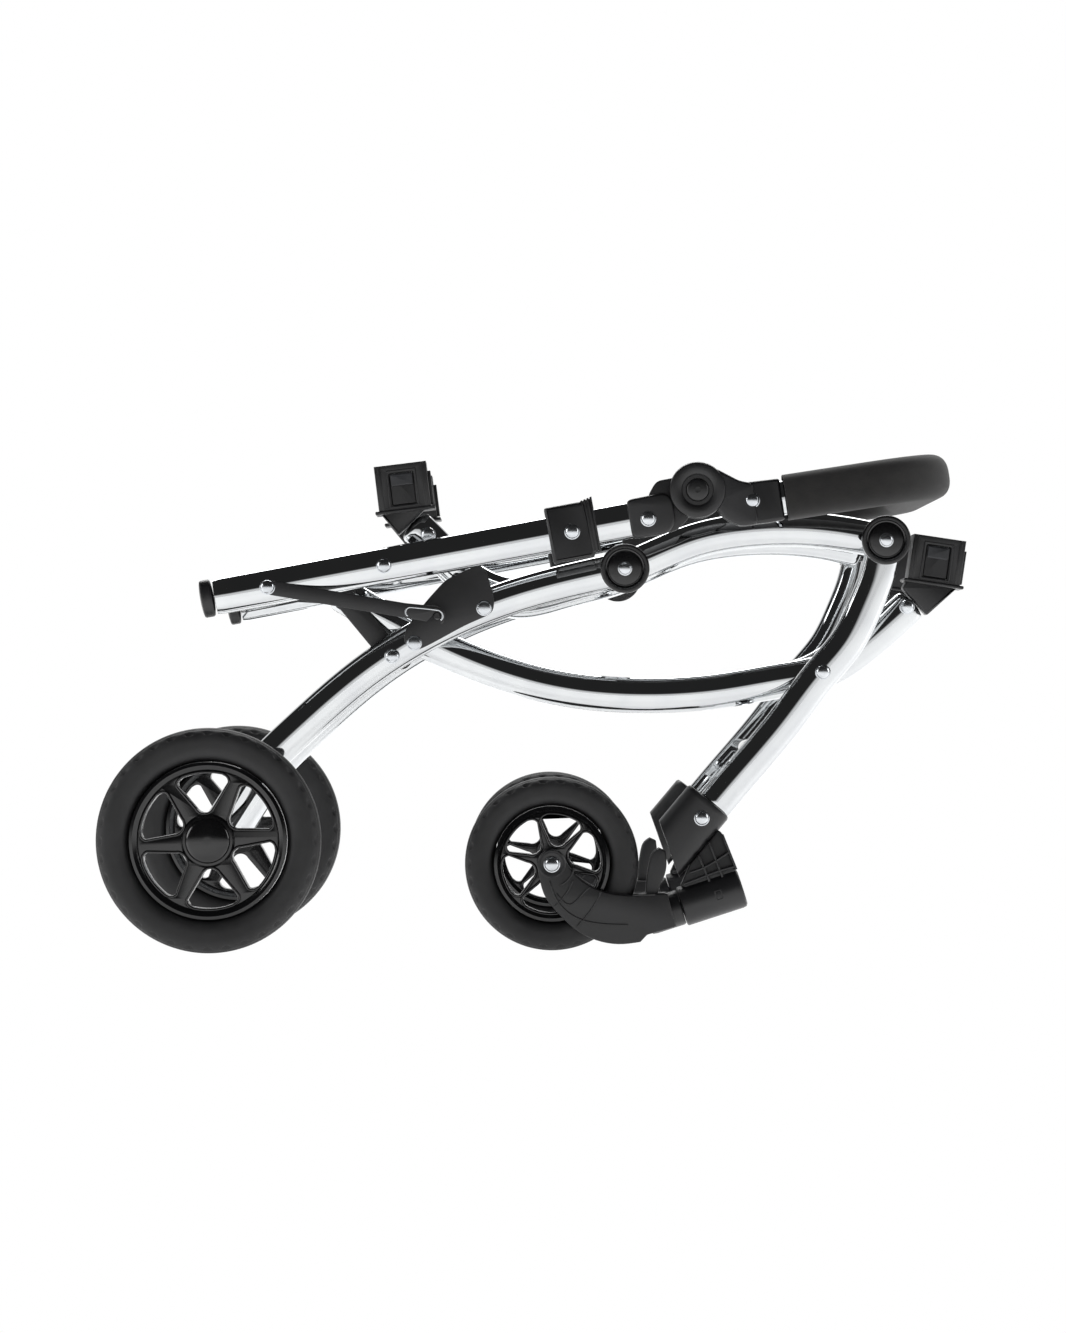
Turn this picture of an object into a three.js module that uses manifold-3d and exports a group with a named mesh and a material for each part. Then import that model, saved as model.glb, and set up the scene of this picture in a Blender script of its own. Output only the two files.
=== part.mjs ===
// Folding pet stroller chassis, shown folded. Millimetres, +Z up, +X towards the swivel wheels.
// -Y is the right-hand side. Every side piece is built for side = -1 (right) and side = +1 (left).
import * as THREE from 'three';
import { mergeVertices } from 'three/addons/utils/BufferGeometryUtils.js';
import Module from 'manifold-3d';

const wasm = await Module();
wasm.setup();

// ---------- side-view points, as [x, z] ----------
const radians = THREE.MathUtils.degToRad;

const polar = ([x, z], distance, degrees) => [
  x + distance * Math.cos(radians(degrees)),
  z + distance * Math.sin(radians(degrees)),
];

// degrees above level of the way from one point to another
const angleOf = (from, to) => THREE.MathUtils.radToDeg(Math.atan2(to[1] - from[1], to[0] - from[0]));
const distanceOf = (from, to) => Math.hypot(to[0] - from[0], to[1] - from[1]);

// local [along, up] points turned by degrees about a centre
const placed = (points, centre, degrees) => points.map(([along, up]) => polar(
  polar(centre, along, degrees), up, degrees + 90));

// ---------- driving dimensions ----------
const GAP = 0.3;                 // play between touching pieces
const SEAT_PLAY = 0.5;           // round a straight tube in its clamp
const BENT_SEAT_PLAY = 0.6;      // round a tube that is still bending there
const TUBE_HEIGHT = 32;          // oval frame tube, upright size
const TUBE_WIDTH = 20;           // oval frame tube, across the stroller
const TUBE_WALL = 1.6;
const HALF_WIDE = TUBE_WIDTH / 2;
const HALF_HIGH = TUBE_HEIGHT / 2;
const CUTTER_REACH = TUBE_WIDTH + 10;    // a bore's cutter, to each side of its tube
const SUPPORT_Y = 154;           // middle of the upper and lower support tubes
const LINK_THICKNESS = 3;
const LINK_HALF = 9.5;           // half the link bar's height
const LAYER_GAP = 2;             // left over between two tubes once two link plates lie between them
const LAYER_PITCH = TUBE_WIDTH + 2 * LINK_THICKNESS + LAYER_GAP;
const LEG_Y = SUPPORT_Y + LAYER_PITCH;
const HANDLE_Y = LEG_Y + LAYER_PITCH;

const REAR_WHEEL_RADIUS = 100;
const REAR_WHEEL_WIDTH = 36;
const WHEEL_TO_HANDLE = 3;       // from the handle tubes to the rear wheels
const REAR_TRACK = 2 * (HANDLE_Y + WHEEL_TO_HANDLE) + TUBE_WIDTH + REAR_WHEEL_WIDTH;
const FRONT_WHEEL_RADIUS = 78;
const FRONT_WHEEL_WIDTH = 34;
const REAR_TYRE_DEPTH = 30;
const FRONT_TYRE_DEPTH = 26;
const RIM_INSET = 4;             // how much narrower a rim is than its tyre
const AXLE_RADIUS = 6;
const FRONT_BOLT_RADIUS = 4;

const FORK_PLATE = 5.5;
const WHEEL_PLAY = 2.5;          // side play of a front wheel in its fork
const SWIVEL_ANGLE = 18;         // degrees above level, folded
const SWIVEL_RADIUS = 18;
const SWIVEL_LENGTH = 57;
const STEM_RADIUS = 6;
const LEVER_INNER = 10;          // half the gap between the lever's two plates
const LEVER_OUTER = 15;

const HANDLE_ANGLE = 10.5;       // degrees above level, folded
const HANDLE_START = -154;       // along the handle from its pivot
const SLEEVE_SPAN = [148, 192];
const LOWER_JOINT_SPAN = [222, 262];
const TUBE_INTO_JOINT = 20;      // how far the handle tube runs into the joint
const GRIP_ANGLE = 8.7;
const GRIP_LENGTH = 137;
const BAR_RADIUS = 9.5;
const BAR_INTO_JOINT = 20;
const GRIP_PLAY = 2;             // between the bar and the facets of the foam
const GRIP_RADIUS = 20.5;
const GRIP_CORNER = 62;          // radius of the handle bar's two bends
const JOINT_RADIUS = 25;
const JOINT_HALF = HALF_WIDE + 7;
const CLAMP_HALF = HALF_WIDE + 2;        // half the width of the joint's two clamps
const CHEEK_HALF = HALF_WIDE - 4;        // and of the disc between the joint's covers
const CHEEK_BORE = 11;
const JOINT_HUB = 10.6;
const BUTTON_WELL = 10.3;
const BUTTON_RADIUS = 9.8;
const SLEEVE_HALF = HALF_WIDE + 4;
const HOUSING_HALF = HALF_WIDE + 6.5;

const SOCKET_LENGTH = 47;        // along the stroller
const SOCKET_WIDTH = 48;         // across it
const SOCKET_HEIGHT = 41;
const SOCKET_WALL = 3.5;
const COLLAR_WALL = 3;           // the socket's collar round its support tube
const COLLAR_DEPTH = 4;
const HUB_RADIUS = 22;           // round cap over a main pivot
const CAP_THICKNESS = 6.5;
const PIVOT_RADIUS = 5;
const HANDLE_PIN_RADIUS = 5;
const ARM_HALF = 3;              // half the thickness of the arm that carries the handle
const LINK_PIN_RADIUS = 4;
const LOCK_PIN_RADIUS = 3;
const LOCK_THICKNESS = 3;
const RIVET_RADIUS = 6.5;
const RIVET_HEIGHT = 4;
const CROSS_TUBE_RADIUS = 11;
const FRONT_CROSS_RADIUS = 9;
const CROSS_TUBE_WALL = 1.5;
const DOME_RINGS = 3;            // steps in the curve of a domed head

// main pivots and axles of the side view, as [x, z]
const REAR_AXLE = [-288, REAR_WHEEL_RADIUS];
const FRONT_AXLE = [16, FRONT_WHEEL_RADIUS];
const REAR_PIVOT = [81.4, 342];          // rear leg on the upper support
const FRONT_PIVOT = [315, 367.4];        // front leg on the upper support
const LOWER_PIVOT = [258.5, 249.5];      // lower support on the front leg
const HANDLE_PIVOT = [-133.5, 344];      // handle on the upper support
const LINK_TOP = [-190, 340];            // link bar on the lower support
const LINK_FOOT = [-126.9, 263.8];       // link bar on the rear leg
const LOCK_PIVOT = [-237, 324.8];        // lock bar on the handle
const LOCK_STUD = [-86.2, 299.2];        // stud that the lock bar hooks over
const SWIVEL_MIDDLE = [159.5, 48];
const JOINT_CENTRE = [145.4, 411.1];
const GRIP_START = polar(JOINT_CENTRE, 73.6, GRIP_ANGLE - 14.3);
const GRIP_END = polar(GRIP_START, GRIP_LENGTH, GRIP_ANGLE);
const LOWER_CROSS = [96, 228.7];
const FRONT_CROSS = polar(LOWER_PIVOT, 92, 229.8);
const REAR_SOCKET = [-118, 416, 7];      // x, z and tilt in degrees
const FRONT_SOCKET = [361.8, 350, -8.4];

// centrelines of the bent tubes, from one end to the other
const REAR_LEG_PATH = [REAR_AXLE, [-263, 139], [-243, 166], [-214, 195], [-153, 247.8], [-82, 291.5],
  [-8, 320.4], [36, 332], REAR_PIVOT];
const UPPER_PATH = [[-110, 384], [-93, 367.5], [-54, 331.5], [-15, 318.5], [28, 327], REAR_PIVOT,
  [145.4, 368], [193.3, 377], [240.5, 378.3], [285, 373.5], FRONT_PIVOT];
const LOWER_PATH = [[-178, 322.5], [-118, 288.5], [-48, 256], [20, 236], LOWER_CROSS, [172, 233.5],
  [225, 242.5], LOWER_PIVOT, [301, 276], [342, 312.5]];
const FRONT_LEG_PATH = [FRONT_PIVOT, [307, 334], [298, 311], [281, 277], LOWER_PIVOT, [226, 206.6],
  [181, 153], [158, 125.6]];

// ---------- materials ----------
const FINISH = {
  chrome: { color: 0xd4d6d8, metalness: 1, roughness: 0.12 },
  steel: { color: 0xb9bcc0, metalness: 1, roughness: 0.25 },
  plastic: { color: 0x1b1b1c, metalness: 0, roughness: 0.55 },
  gloss: { color: 0x0c0c0d, metalness: 0, roughness: 0.2 },
  tyre: { color: 0x202021, metalness: 0, roughness: 0.7 },
  foam: { color: 0x1d1c1b, metalness: 0, roughness: 0.95 },
  button: { color: 0x5a5b5e, metalness: 0, roughness: 0.5 },
};

// ---------- solids ----------
function solid(geometry) {
  const bare = geometry.clone();
  bare.deleteAttribute('normal');
  bare.deleteAttribute('uv');
  const merged = mergeVertices(bare, 1e-4);
  return new wasm.Manifold(new wasm.Mesh({
    numProp: 3,
    vertProperties: new Float32Array(merged.attributes.position.array),
    triVerts: new Uint32Array(merged.index.array),
  }));
}

function geometryOf(body) {
  const mesh = body.getMesh();
  const geometry = new THREE.BufferGeometry();
  geometry.setAttribute('position', new THREE.BufferAttribute(new Float32Array(mesh.vertProperties), 3));
  geometry.setIndex(new THREE.BufferAttribute(new Uint32Array(mesh.triVerts), 1));
  return geometry;
}

const join = (first, ...rest) => rest.reduce((sum, piece) => sum.add(piece), first);
const cut = (first, ...rest) => rest.reduce((sum, piece) => sum.subtract(piece), first);

// side-view outline carried across the stroller from y = from to y = to
function slab(outline, from, to, curveSegments = 5) {
  const shape = outline instanceof THREE.Shape
    ? outline
    : new THREE.Shape(outline.map(([x, z]) => new THREE.Vector2(x, z)));
  const depth = Math.abs(to - from);
  const geometry = new THREE.ExtrudeGeometry(shape, { depth, bevelEnabled: false, curveSegments });
  geometry.rotateX(Math.PI / 2);
  geometry.translate(0, Math.max(from, to), 0);
  return solid(geometry);
}

// round bar across the stroller
function crossBar([x, z], radius, from, to, segments = 16) {
  const geometry = new THREE.CylinderGeometry(radius, radius, Math.abs(to - from), segments);
  geometry.translate(x, (from + to) / 2, z);
  return solid(geometry);
}

// the cutter of a bore across a tube whose middle is at y
const bore = (centre, radius, y, segments = 16) => crossBar(
  centre, radius, y - CUTTER_REACH, y + CUTTER_REACH, segments);

// domed rivet head that stands out from y = base by height, on the outer side
function domeHead([x, z], radius, height, base, side) {
  const profile = [new THREE.Vector2(0, 0)];
  for (let i = 0; i <= DOME_RINGS; i += 1) {
    const t = (i / DOME_RINGS) * (Math.PI / 2);
    profile.push(new THREE.Vector2(i === DOME_RINGS ? 0 : radius * Math.cos(t), height * Math.sin(t)));
  }
  const head = solid(new THREE.LatheGeometry(profile, 12));
  const turned = side < 0 ? head.rotate([180, 0, 0]) : head;
  return turned.translate([x, side * base, z]);
}

function ovalShape(height, width, segments) {
  return Array.from({ length: segments }, (_, i) => new THREE.Vector2(
    (width / 2) * Math.cos((2 * Math.PI * i) / segments),
    (height / 2) * Math.sin((2 * Math.PI * i) / segments)));
}

const roundShape = (radius, segments) => ovalShape(2 * radius, 2 * radius, segments);

function sidePath(points, y) {
  const along = points.map(([x, z]) => new THREE.Vector3(x, y, z));
  return new THREE.CatmullRomCurve3(along, false, 'centripetal');
}

const sideLine = (from, to, y) => new THREE.LineCurve3(
  new THREE.Vector3(from[0], y, from[1]), new THREE.Vector3(to[0], y, to[1]));

// oval bar along a side-view path
function ovalBar(path, height, width, steps, segments = 12) {
  const outline = new THREE.Shape(ovalShape(height, width, segments));
  return solid(new THREE.ExtrudeGeometry(outline, { steps, bevelEnabled: false, extrudePath: path }));
}

// room for a frame tube between two points, with play all round it
function tubeSeat(from, to, y, play) {
  return ovalBar(sideLine(from, to, y), TUBE_HEIGHT + 2 * play, TUBE_WIDTH + 2 * GAP, 1);
}

// a frame tube that is open at both ends
function ovalTube(path, steps) {
  const outline = new THREE.Shape(ovalShape(TUBE_HEIGHT, TUBE_WIDTH, 12));
  const inside = ovalShape(TUBE_HEIGHT - 2 * TUBE_WALL, TUBE_WIDTH - 2 * TUBE_WALL, 8);
  outline.holes.push(new THREE.Path(inside));
  return solid(new THREE.ExtrudeGeometry(outline, { steps, bevelEnabled: false, extrudePath: path }));
}

function ring(profile, segments) {
  return solid(new THREE.LatheGeometry(profile.map(([r, y]) => new THREE.Vector2(r, y)), segments));
}

function circleShape([x, z], radius) {
  const shape = new THREE.Shape();
  shape.absarc(x, z, radius, 0, 2 * Math.PI);
  return shape;
}

// ---------- scene graph ----------
const stroller = new THREE.Group();
const sideName = (side) => (side < 0 ? 'right' : 'left');

function add(name, body, finish) {
  const mesh = new THREE.Mesh(geometryOf(body), new THREE.MeshStandardMaterial(FINISH[finish]));
  mesh.name = name;
  stroller.add(mesh);
}

// ---------- wheels ----------
function tyreProfile(outer, inner, width) {
  const middle = (outer + inner) / 2;
  const half = (outer - inner) / 2;
  const profile = [];
  const count = 10;
  for (let i = 0; i <= count; i += 1) {
    const t = (i / count) * 2 * Math.PI;
    const squash = (v) => Math.sign(v) * Math.abs(v) ** 0.72;
    profile.push([middle + half * squash(Math.cos(t)), (width / 2) * squash(Math.sin(t))]);
  }
  profile[count] = [...profile[0]];
  return profile;
}

// one gap between two spokes: round towards the hub, an arc along the rim
function spokeGap(spokeWidth, roundRadius, outerRadius, turn) {
  const centre = polar([0, 0], 2 * (spokeWidth / 2 + roundRadius), turn);
  const edge = 30 - THREE.MathUtils.radToDeg(Math.asin(spokeWidth / 2 / outerRadius));
  const gap = new THREE.Path();
  gap.absarc(centre[0], centre[1], roundRadius, radians(turn + 120), radians(turn + 240), false);
  gap.absarc(0, 0, outerRadius, radians(turn - edge), radians(turn + edge), false);
  return new THREE.Path(gap.getPoints(3));
}

function wheelRim({ radius, width, bore, spoke, round, border, start }) {
  const disc = new THREE.Shape(roundShape(radius, 32));
  for (let i = 0; i < 6; i += 1) {
    disc.holes.push(spokeGap(spoke, round, radius - border, start + 30 + 60 * i));
  }
  return cut(slab(disc, -width / 2, width / 2), crossBar([0, 0], bore, -width, width, 12));
}

function rearWheel(side) {
  const place = [REAR_AXLE[0], (side * REAR_TRACK) / 2, REAR_AXLE[1]];
  const seat = REAR_WHEEL_RADIUS - REAR_TYRE_DEPTH;
  add(`rear_tyre_${sideName(side)}`,
    ring(tyreProfile(REAR_WHEEL_RADIUS, seat, REAR_WHEEL_WIDTH), 32).translate(place), 'tyre');
  add(`rear_rim_${sideName(side)}`, wheelRim({ radius: seat - GAP, width: REAR_WHEEL_WIDTH - RIM_INSET,
    bore: AXLE_RADIUS + GAP, spoke: 17, round: 9, border: 9, start: 5 }).translate(place), 'gloss');
  const capBase = (REAR_TRACK + REAR_WHEEL_WIDTH - RIM_INSET) / 2 + 2 * GAP;
  add(`rear_hub_cap_${sideName(side)}`, domeHead(REAR_AXLE, 20, 7, capBase, side), 'gloss');
}

function frontWheel(side) {
  const place = [FRONT_AXLE[0], side * LEG_Y, FRONT_AXLE[1]];
  const seat = FRONT_WHEEL_RADIUS - FRONT_TYRE_DEPTH;
  add(`front_tyre_${sideName(side)}`,
    ring(tyreProfile(FRONT_WHEEL_RADIUS, seat, FRONT_WHEEL_WIDTH), 32).translate(place), 'tyre');
  const rim = wheelRim({ radius: seat - GAP, width: FRONT_WHEEL_WIDTH - RIM_INSET,
    bore: FRONT_BOLT_RADIUS + GAP, spoke: 8, round: 9, border: 7, start: -13 });
  add(`front_rim_${sideName(side)}`, rim.translate(place), 'gloss');
}

// ---------- rear leg, axle and latch bracket ----------
function rearLeg(side) {
  const y = side * LEG_Y;
  let leg = ovalBar(sidePath(REAR_LEG_PATH, y), TUBE_HEIGHT, TUBE_WIDTH, 16);
  leg = join(leg, crossBar(REAR_AXLE, HALF_HIGH - 1, y - HALF_WIDE, y + HALF_WIDE));
  leg = join(leg, crossBar(REAR_PIVOT, HALF_HIGH, y - HALF_WIDE, y + HALF_WIDE));
  leg = join(leg, domeHead(LINK_FOOT, RIVET_RADIUS, RIVET_HEIGHT, LEG_Y + HALF_WIDE - 1, side));
  leg = cut(leg, bore(REAR_AXLE, AXLE_RADIUS + GAP, y), bore(REAR_PIVOT, PIVOT_RADIUS + GAP, y));
  add(`rear_leg_${sideName(side)}`, leg, 'chrome');
}

function rearAxle() {
  const end = (REAR_TRACK + REAR_WHEEL_WIDTH - RIM_INSET) / 2;
  add('rear_axle', crossBar(REAR_AXLE, AXLE_RADIUS, -end, end, 16), 'steel');
}

function latchBracket() {
  const face = LEG_Y + HALF_WIDE + GAP;
  const plate = slab([[-106, 268], [-116, 274], [-115, 285], [-97, 312], [-79, 332], [-49, 345],
    [-42, 338], [-35, 314], [-45, 296], [-62, 291], [-93, 274]], -face, -(face + 4));
  const stud = crossBar(LOCK_STUD, 3.2, -(face + 3), -(HANDLE_Y + HALF_WIDE + 4), 12);
  add('latch_bracket', join(plate, stud), 'plastic');
}

// cap over a main pivot, with its pin running through both tubes
function pivotCap(name, centre, side) {
  const outer = LEG_Y + HALF_WIDE + GAP;
  const inner = SUPPORT_Y - HALF_WIDE;
  const cap = join(crossBar(centre, HUB_RADIUS, side * outer, side * (outer + CAP_THICKNESS), 24),
    crossBar(centre, PIVOT_RADIUS, side * inner, side * (outer + 1), 12));
  const dish = crossBar(centre, HUB_RADIUS - 4, side * (outer + 4), side * (outer + 8), 24);
  const boss = crossBar(centre, HUB_RADIUS - 6, side * (outer + 1), side * (outer + 5), 24);
  add(name, join(cut(cap, dish), boss, domeHead(centre, 5.5, 3, outer + 4.9, side)), 'plastic');
}

// ---------- supports ----------
function upperSupport(side) {
  const y = side * SUPPORT_Y;
  let tube = ovalBar(sidePath(UPPER_PATH, y), TUBE_HEIGHT, TUBE_WIDTH, 18);
  const arm = slab(placed([[-13, -11], [54, -11], [54, 9], [-13, 9]], HANDLE_PIVOT, HANDLE_ANGLE),
    y - ARM_HALF, y + ARM_HALF);
  tube = join(tube, arm, crossBar(FRONT_PIVOT, HALF_HIGH, y - HALF_WIDE, y + HALF_WIDE));
  tube = join(tube, crossBar(REAR_PIVOT, HALF_HIGH - 2, y - HALF_WIDE, y + HALF_WIDE));
  tube = cut(tube, bore(FRONT_PIVOT, PIVOT_RADIUS + GAP, y), bore(REAR_PIVOT, PIVOT_RADIUS + GAP, y));
  tube = cut(tube, bore(HANDLE_PIVOT, HANDLE_PIN_RADIUS + GAP, y));
  add(`upper_support_${sideName(side)}`, tube, 'chrome');
}

function lowerSupport(side) {
  const y = side * SUPPORT_Y;
  const face = SUPPORT_Y + HALF_WIDE;
  let tube = ovalBar(sidePath(LOWER_PATH, y), TUBE_HEIGHT, TUBE_WIDTH, 16);
  tube = join(tube, crossBar(LOWER_PATH[0], HALF_HIGH, y - HALF_WIDE, y + HALF_WIDE));
  const tail = slab([[LOCK_PIVOT[0] - 7, LOCK_PIVOT[1] - 4], [LINK_TOP[0] - 4, LINK_TOP[1] - 22],
    [-162, 306], [-160, 326], [LINK_TOP[0] + 2, LINK_TOP[1] + 7], [LOCK_PIVOT[0] - 4, LOCK_PIVOT[1] + 8]],
  side * (face - 1), side * (face + LINK_THICKNESS));
  const linkPin = crossBar(LINK_TOP, LINK_PIN_RADIUS,
    side * face, side * (face + 2 * LINK_THICKNESS + 1), 12);
  tube = cut(join(tube, tail, linkPin), bore(LOWER_PIVOT, LINK_PIN_RADIUS + GAP, y, 12));
  add(`lower_support_${sideName(side)}`, tube, 'chrome');
}

function linkBar(side) {
  const inner = SUPPORT_Y + HALF_WIDE + LINK_THICKNESS + GAP;
  const length = distanceOf(LINK_FOOT, LINK_TOP);
  const half = LINK_HALF;
  const angle = angleOf(LINK_FOOT, LINK_TOP);
  const outline = placed([[-half, -5], [-5, -half], [length + 4, -half], [length + 8, -4],
    [length + 8, 4], [length + 4, half], [-5, half], [-half, 5]], LINK_FOOT, angle);
  const bar = slab(outline, side * inner, side * (inner + LINK_THICKNESS));
  const hole = bore(LINK_TOP, LINK_PIN_RADIUS + GAP, side * inner, 12);
  add(`link_bar_${sideName(side)}`, cut(bar, hole), 'plastic');
}

// ---------- front leg and swivel housing ----------
function frontLeg(side) {
  const y = side * LEG_Y;
  const outer = LEG_Y + HALF_WIDE;
  let leg = ovalBar(sidePath(FRONT_LEG_PATH, y), TUBE_HEIGHT, TUBE_WIDTH, 12);
  leg = join(leg, crossBar(FRONT_PIVOT, HALF_HIGH, y - HALF_WIDE, y + HALF_WIDE));
  const inner = SUPPORT_Y - HALF_WIDE;
  leg = join(leg, crossBar(LOWER_PIVOT, LINK_PIN_RADIUS, side * inner, side * outer, 12));
  leg = join(leg, domeHead(LOWER_PIVOT, RIVET_RADIUS, RIVET_HEIGHT, outer - 1, side));
  add(`front_leg_${sideName(side)}`, cut(leg, bore(FRONT_PIVOT, PIVOT_RADIUS + GAP, y)), 'chrome');
}

function swivelBar(from, to, radius, y, segments = 24) {
  const geometry = new THREE.CylinderGeometry(radius, radius, to - from, segments);
  geometry.rotateZ(Math.PI / 2);
  geometry.translate((from + to) / 2, 0, 0);
  geometry.rotateY(-radians(SWIVEL_ANGLE));
  geometry.translate(SWIVEL_MIDDLE[0], y, SWIVEL_MIDDLE[1]);
  return solid(geometry);
}

function swivelHousing(side) {
  const y = side * LEG_Y;
  const end = SWIVEL_LENGTH / 2;
  const block = slab([[111.7, 116.4], [137.6, 147.7], [176.9, 120.9], [166.1, 108.4], [181, 72],
    [131, 55]], y - HOUSING_HALF, y + HOUSING_HALF);
  const legEnd = FRONT_LEG_PATH.at(-1);
  const slope = angleOf(legEnd, FRONT_LEG_PATH.at(-2));
  const seat = tubeSeat(polar(legEnd, -1, slope), polar(legEnd, 60, slope), y, BENT_SEAT_PLAY);
  let housing = join(block, swivelBar(-end, end, SWIVEL_RADIUS, y));
  housing = cut(housing, seat, swivelBar(-end - 5, end - 8, STEM_RADIUS + GAP, y));
  add(`swivel_housing_${sideName(side)}`, housing, 'plastic');
}

function forkPlate(side, inner) {
  const outline = new THREE.Shape();
  outline.absarc(FRONT_AXLE[0], FRONT_AXLE[1], 13.4, radians(35), radians(215), false);
  outline.quadraticCurveTo(8, 44, 24, 29);
  outline.quadraticCurveTo(42, 12, 68, 7);
  outline.lineTo(94, 7.5);
  outline.lineTo(101, 15);
  outline.lineTo(128, 22);
  outline.lineTo(119.5, 52);
  outline.lineTo(88, 51);
  outline.quadraticCurveTo(52, 52, 38, 68);
  const edge = LEG_Y + inner;
  return slab(outline, side * edge, side * (edge + Math.sign(inner) * FORK_PLATE));
}

function casterFork(side) {
  const y = side * LEG_Y;
  const inner = FRONT_WHEEL_WIDTH / 2 + WHEEL_PLAY;
  const end = SWIVEL_LENGTH / 2;
  let fork = join(forkPlate(side, inner), forkPlate(side, -inner));
  const bridge = slab([[93, 49], [117, 52], [128, 22], [101, 15], [95, 8], [86, 8]],
    y - inner - 1, y + inner + 1);
  const neck = swivelBar(-end - 40, -end - GAP, SWIVEL_RADIUS - 2, y);
  fork = join(fork, bridge, neck, swivelBar(-end - 10, end - 10, STEM_RADIUS, y, 16));
  const reach = inner + FORK_PLATE;
  fork = cut(fork, crossBar(FRONT_AXLE, FRONT_BOLT_RADIUS + GAP, y - reach - 5, y + reach + 5, 14));
  const slotHalf = LEVER_OUTER + GAP;
  const leverSlot = slab([[88, 40], [88, 60], [117, 60], [117, 40]], y - slotHalf, y + slotHalf);
  add(`caster_fork_${sideName(side)}`, cut(fork, leverSlot), 'plastic');
}

function frontBolt(side) {
  const reach = FRONT_WHEEL_WIDTH / 2 + WHEEL_PLAY + FORK_PLATE;
  const y = side * LEG_Y;
  const shank = crossBar(FRONT_AXLE, FRONT_BOLT_RADIUS, y - reach - 3, y + reach + 1, 14);
  const head = domeHead(FRONT_AXLE, 6.5, 3.5, LEG_Y + reach + GAP + 0.3, side);
  add(`front_wheel_bolt_${sideName(side)}`, join(shank, head), 'steel');
}

function swivelLever(side) {
  const y = side * LEG_Y;
  const outline = new THREE.Shape();
  outline.moveTo(100, 44);
  outline.quadraticCurveTo(100, 66, 103, 82);
  outline.quadraticCurveTo(105, 94, 113, 92.5);
  outline.lineTo(118, 90);
  outline.quadraticCurveTo(119.5, 72, 113, 58);
  outline.lineTo(110.5, 44);
  const plates = [-1, 1].map((part) => slab(outline, y + part * LEVER_INNER, y + part * LEVER_OUTER));
  const webHalf = LEVER_INNER + 2;
  const web = slab([[100, 44], [101, 56], [112, 56], [110.5, 44]], y - webHalf, y + webHalf);
  add(`swivel_lock_lever_${sideName(side)}`, join(...plates, web), 'plastic');
}

// ---------- square sockets for the cabin posts ----------
// tubeEnd is where the support tube ends under the socket, and tubeNext its next point
function socketBody([x, z, tilt], side, tubeEnd, tubeNext) {
  const y = side * SUPPORT_Y;
  const halfLength = SOCKET_LENGTH / 2;
  const halfHeight = SOCKET_HEIGHT / 2;
  const halfWidth = SOCKET_WIDTH / 2;
  const at = (points) => placed(points, [x, z], tilt);
  const box = (length, low, high, width) => slab(
    at([[-length, low], [length, low], [length, high], [-length, high]]), y - width, y + width);
  const tubeAngle = angleOf(tubeEnd, tubeNext);
  const seat = tubeSeat(polar(tubeEnd, -GAP, tubeAngle), polar(tubeEnd, 2 * HALF_HIGH, tubeAngle), y, GAP);
  const collarHigh = HALF_HIGH + COLLAR_WALL;
  const collarWide = HALF_WIDE + COLLAR_WALL;
  const collar = placed([[-1, -collarHigh], [COLLAR_DEPTH, -collarHigh], [COLLAR_DEPTH, collarHigh],
    [-1, collarHigh]], tubeEnd, tubeAngle);
  const wedge = wasm.Manifold.hull([box(halfLength, -halfHeight, 1 - halfHeight, collarWide),
    slab(collar, y - collarWide, y + collarWide)]);
  let body = join(box(halfLength, -halfHeight, halfHeight, halfWidth),
    box(halfLength + 3, -halfHeight - 2, -halfHeight + 1, halfWidth + 3), wedge);
  body = cut(body,
    box(halfLength - SOCKET_WALL, -halfHeight + 5, halfHeight + 5, halfWidth - SOCKET_WALL));
  const face = SUPPORT_Y + halfWidth;
  const window = slab(at([[-11, -16], [11, -16], [11, 13], [-11, 13]]),
    side * (face - 6), side * (face + 6));
  return cut(body, window, seat);
}

function socketButton([x, z, tilt], side) {
  const outer = SUPPORT_Y + SOCKET_WIDTH / 2;
  const at = (points) => placed(points, [x, z], tilt);
  const plate = slab(at([[-10.5, -15.5], [10.5, -15.5], [10.5, 12.5], [-10.5, 12.5]]),
    side * (outer - 4.5), side * (outer - 2));
  const pad = slab(at([[-10, 1], [10, 1], [10, 12], [-10, 12]]), side * (outer - 3), side * (outer + 1));
  return join(plate, pad);
}

function sockets(side) {
  const rear = socketBody(REAR_SOCKET, side, UPPER_PATH[0], UPPER_PATH[1]);
  const front = socketBody(FRONT_SOCKET, side, LOWER_PATH.at(-1), LOWER_PATH.at(-2));
  add(`rear_socket_${sideName(side)}`, rear, 'plastic');
  add(`front_socket_${sideName(side)}`, front, 'plastic');
  add(`rear_socket_button_${sideName(side)}`, socketButton(REAR_SOCKET, side), 'button');
  add(`front_socket_button_${sideName(side)}`, socketButton(FRONT_SOCKET, side), 'button');
}

// ---------- cross tubes ----------
function crossTubes() {
  const inside = SUPPORT_Y - HALF_WIDE - GAP;
  const tube = (centre, radius, reach) => cut(crossBar(centre, radius, -reach, reach),
    crossBar(centre, radius - CROSS_TUBE_WALL, -reach - 1, reach + 1));
  add('upper_cross_tube', tube(REAR_PIVOT, CROSS_TUBE_RADIUS, inside), 'chrome');
  add('lower_cross_tube', tube(LOWER_CROSS, CROSS_TUBE_RADIUS, inside), 'chrome');
  const legInside = LEG_Y - HALF_WIDE - GAP;
  add('front_cross_tube', tube(FRONT_CROSS, FRONT_CROSS_RADIUS, legInside), 'chrome');
}

// ---------- handle ----------
const onHandle = (distance, up = 0) => placed([[distance, up]], HANDLE_PIVOT, HANDLE_ANGLE)[0];

function onHandleSlab(from, to, low, high, y, half) {
  const outline = [[from, low], [to, low], [to, high], [from, high]];
  return slab(placed(outline, HANDLE_PIVOT, HANDLE_ANGLE), y - half, y + half);
}

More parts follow.
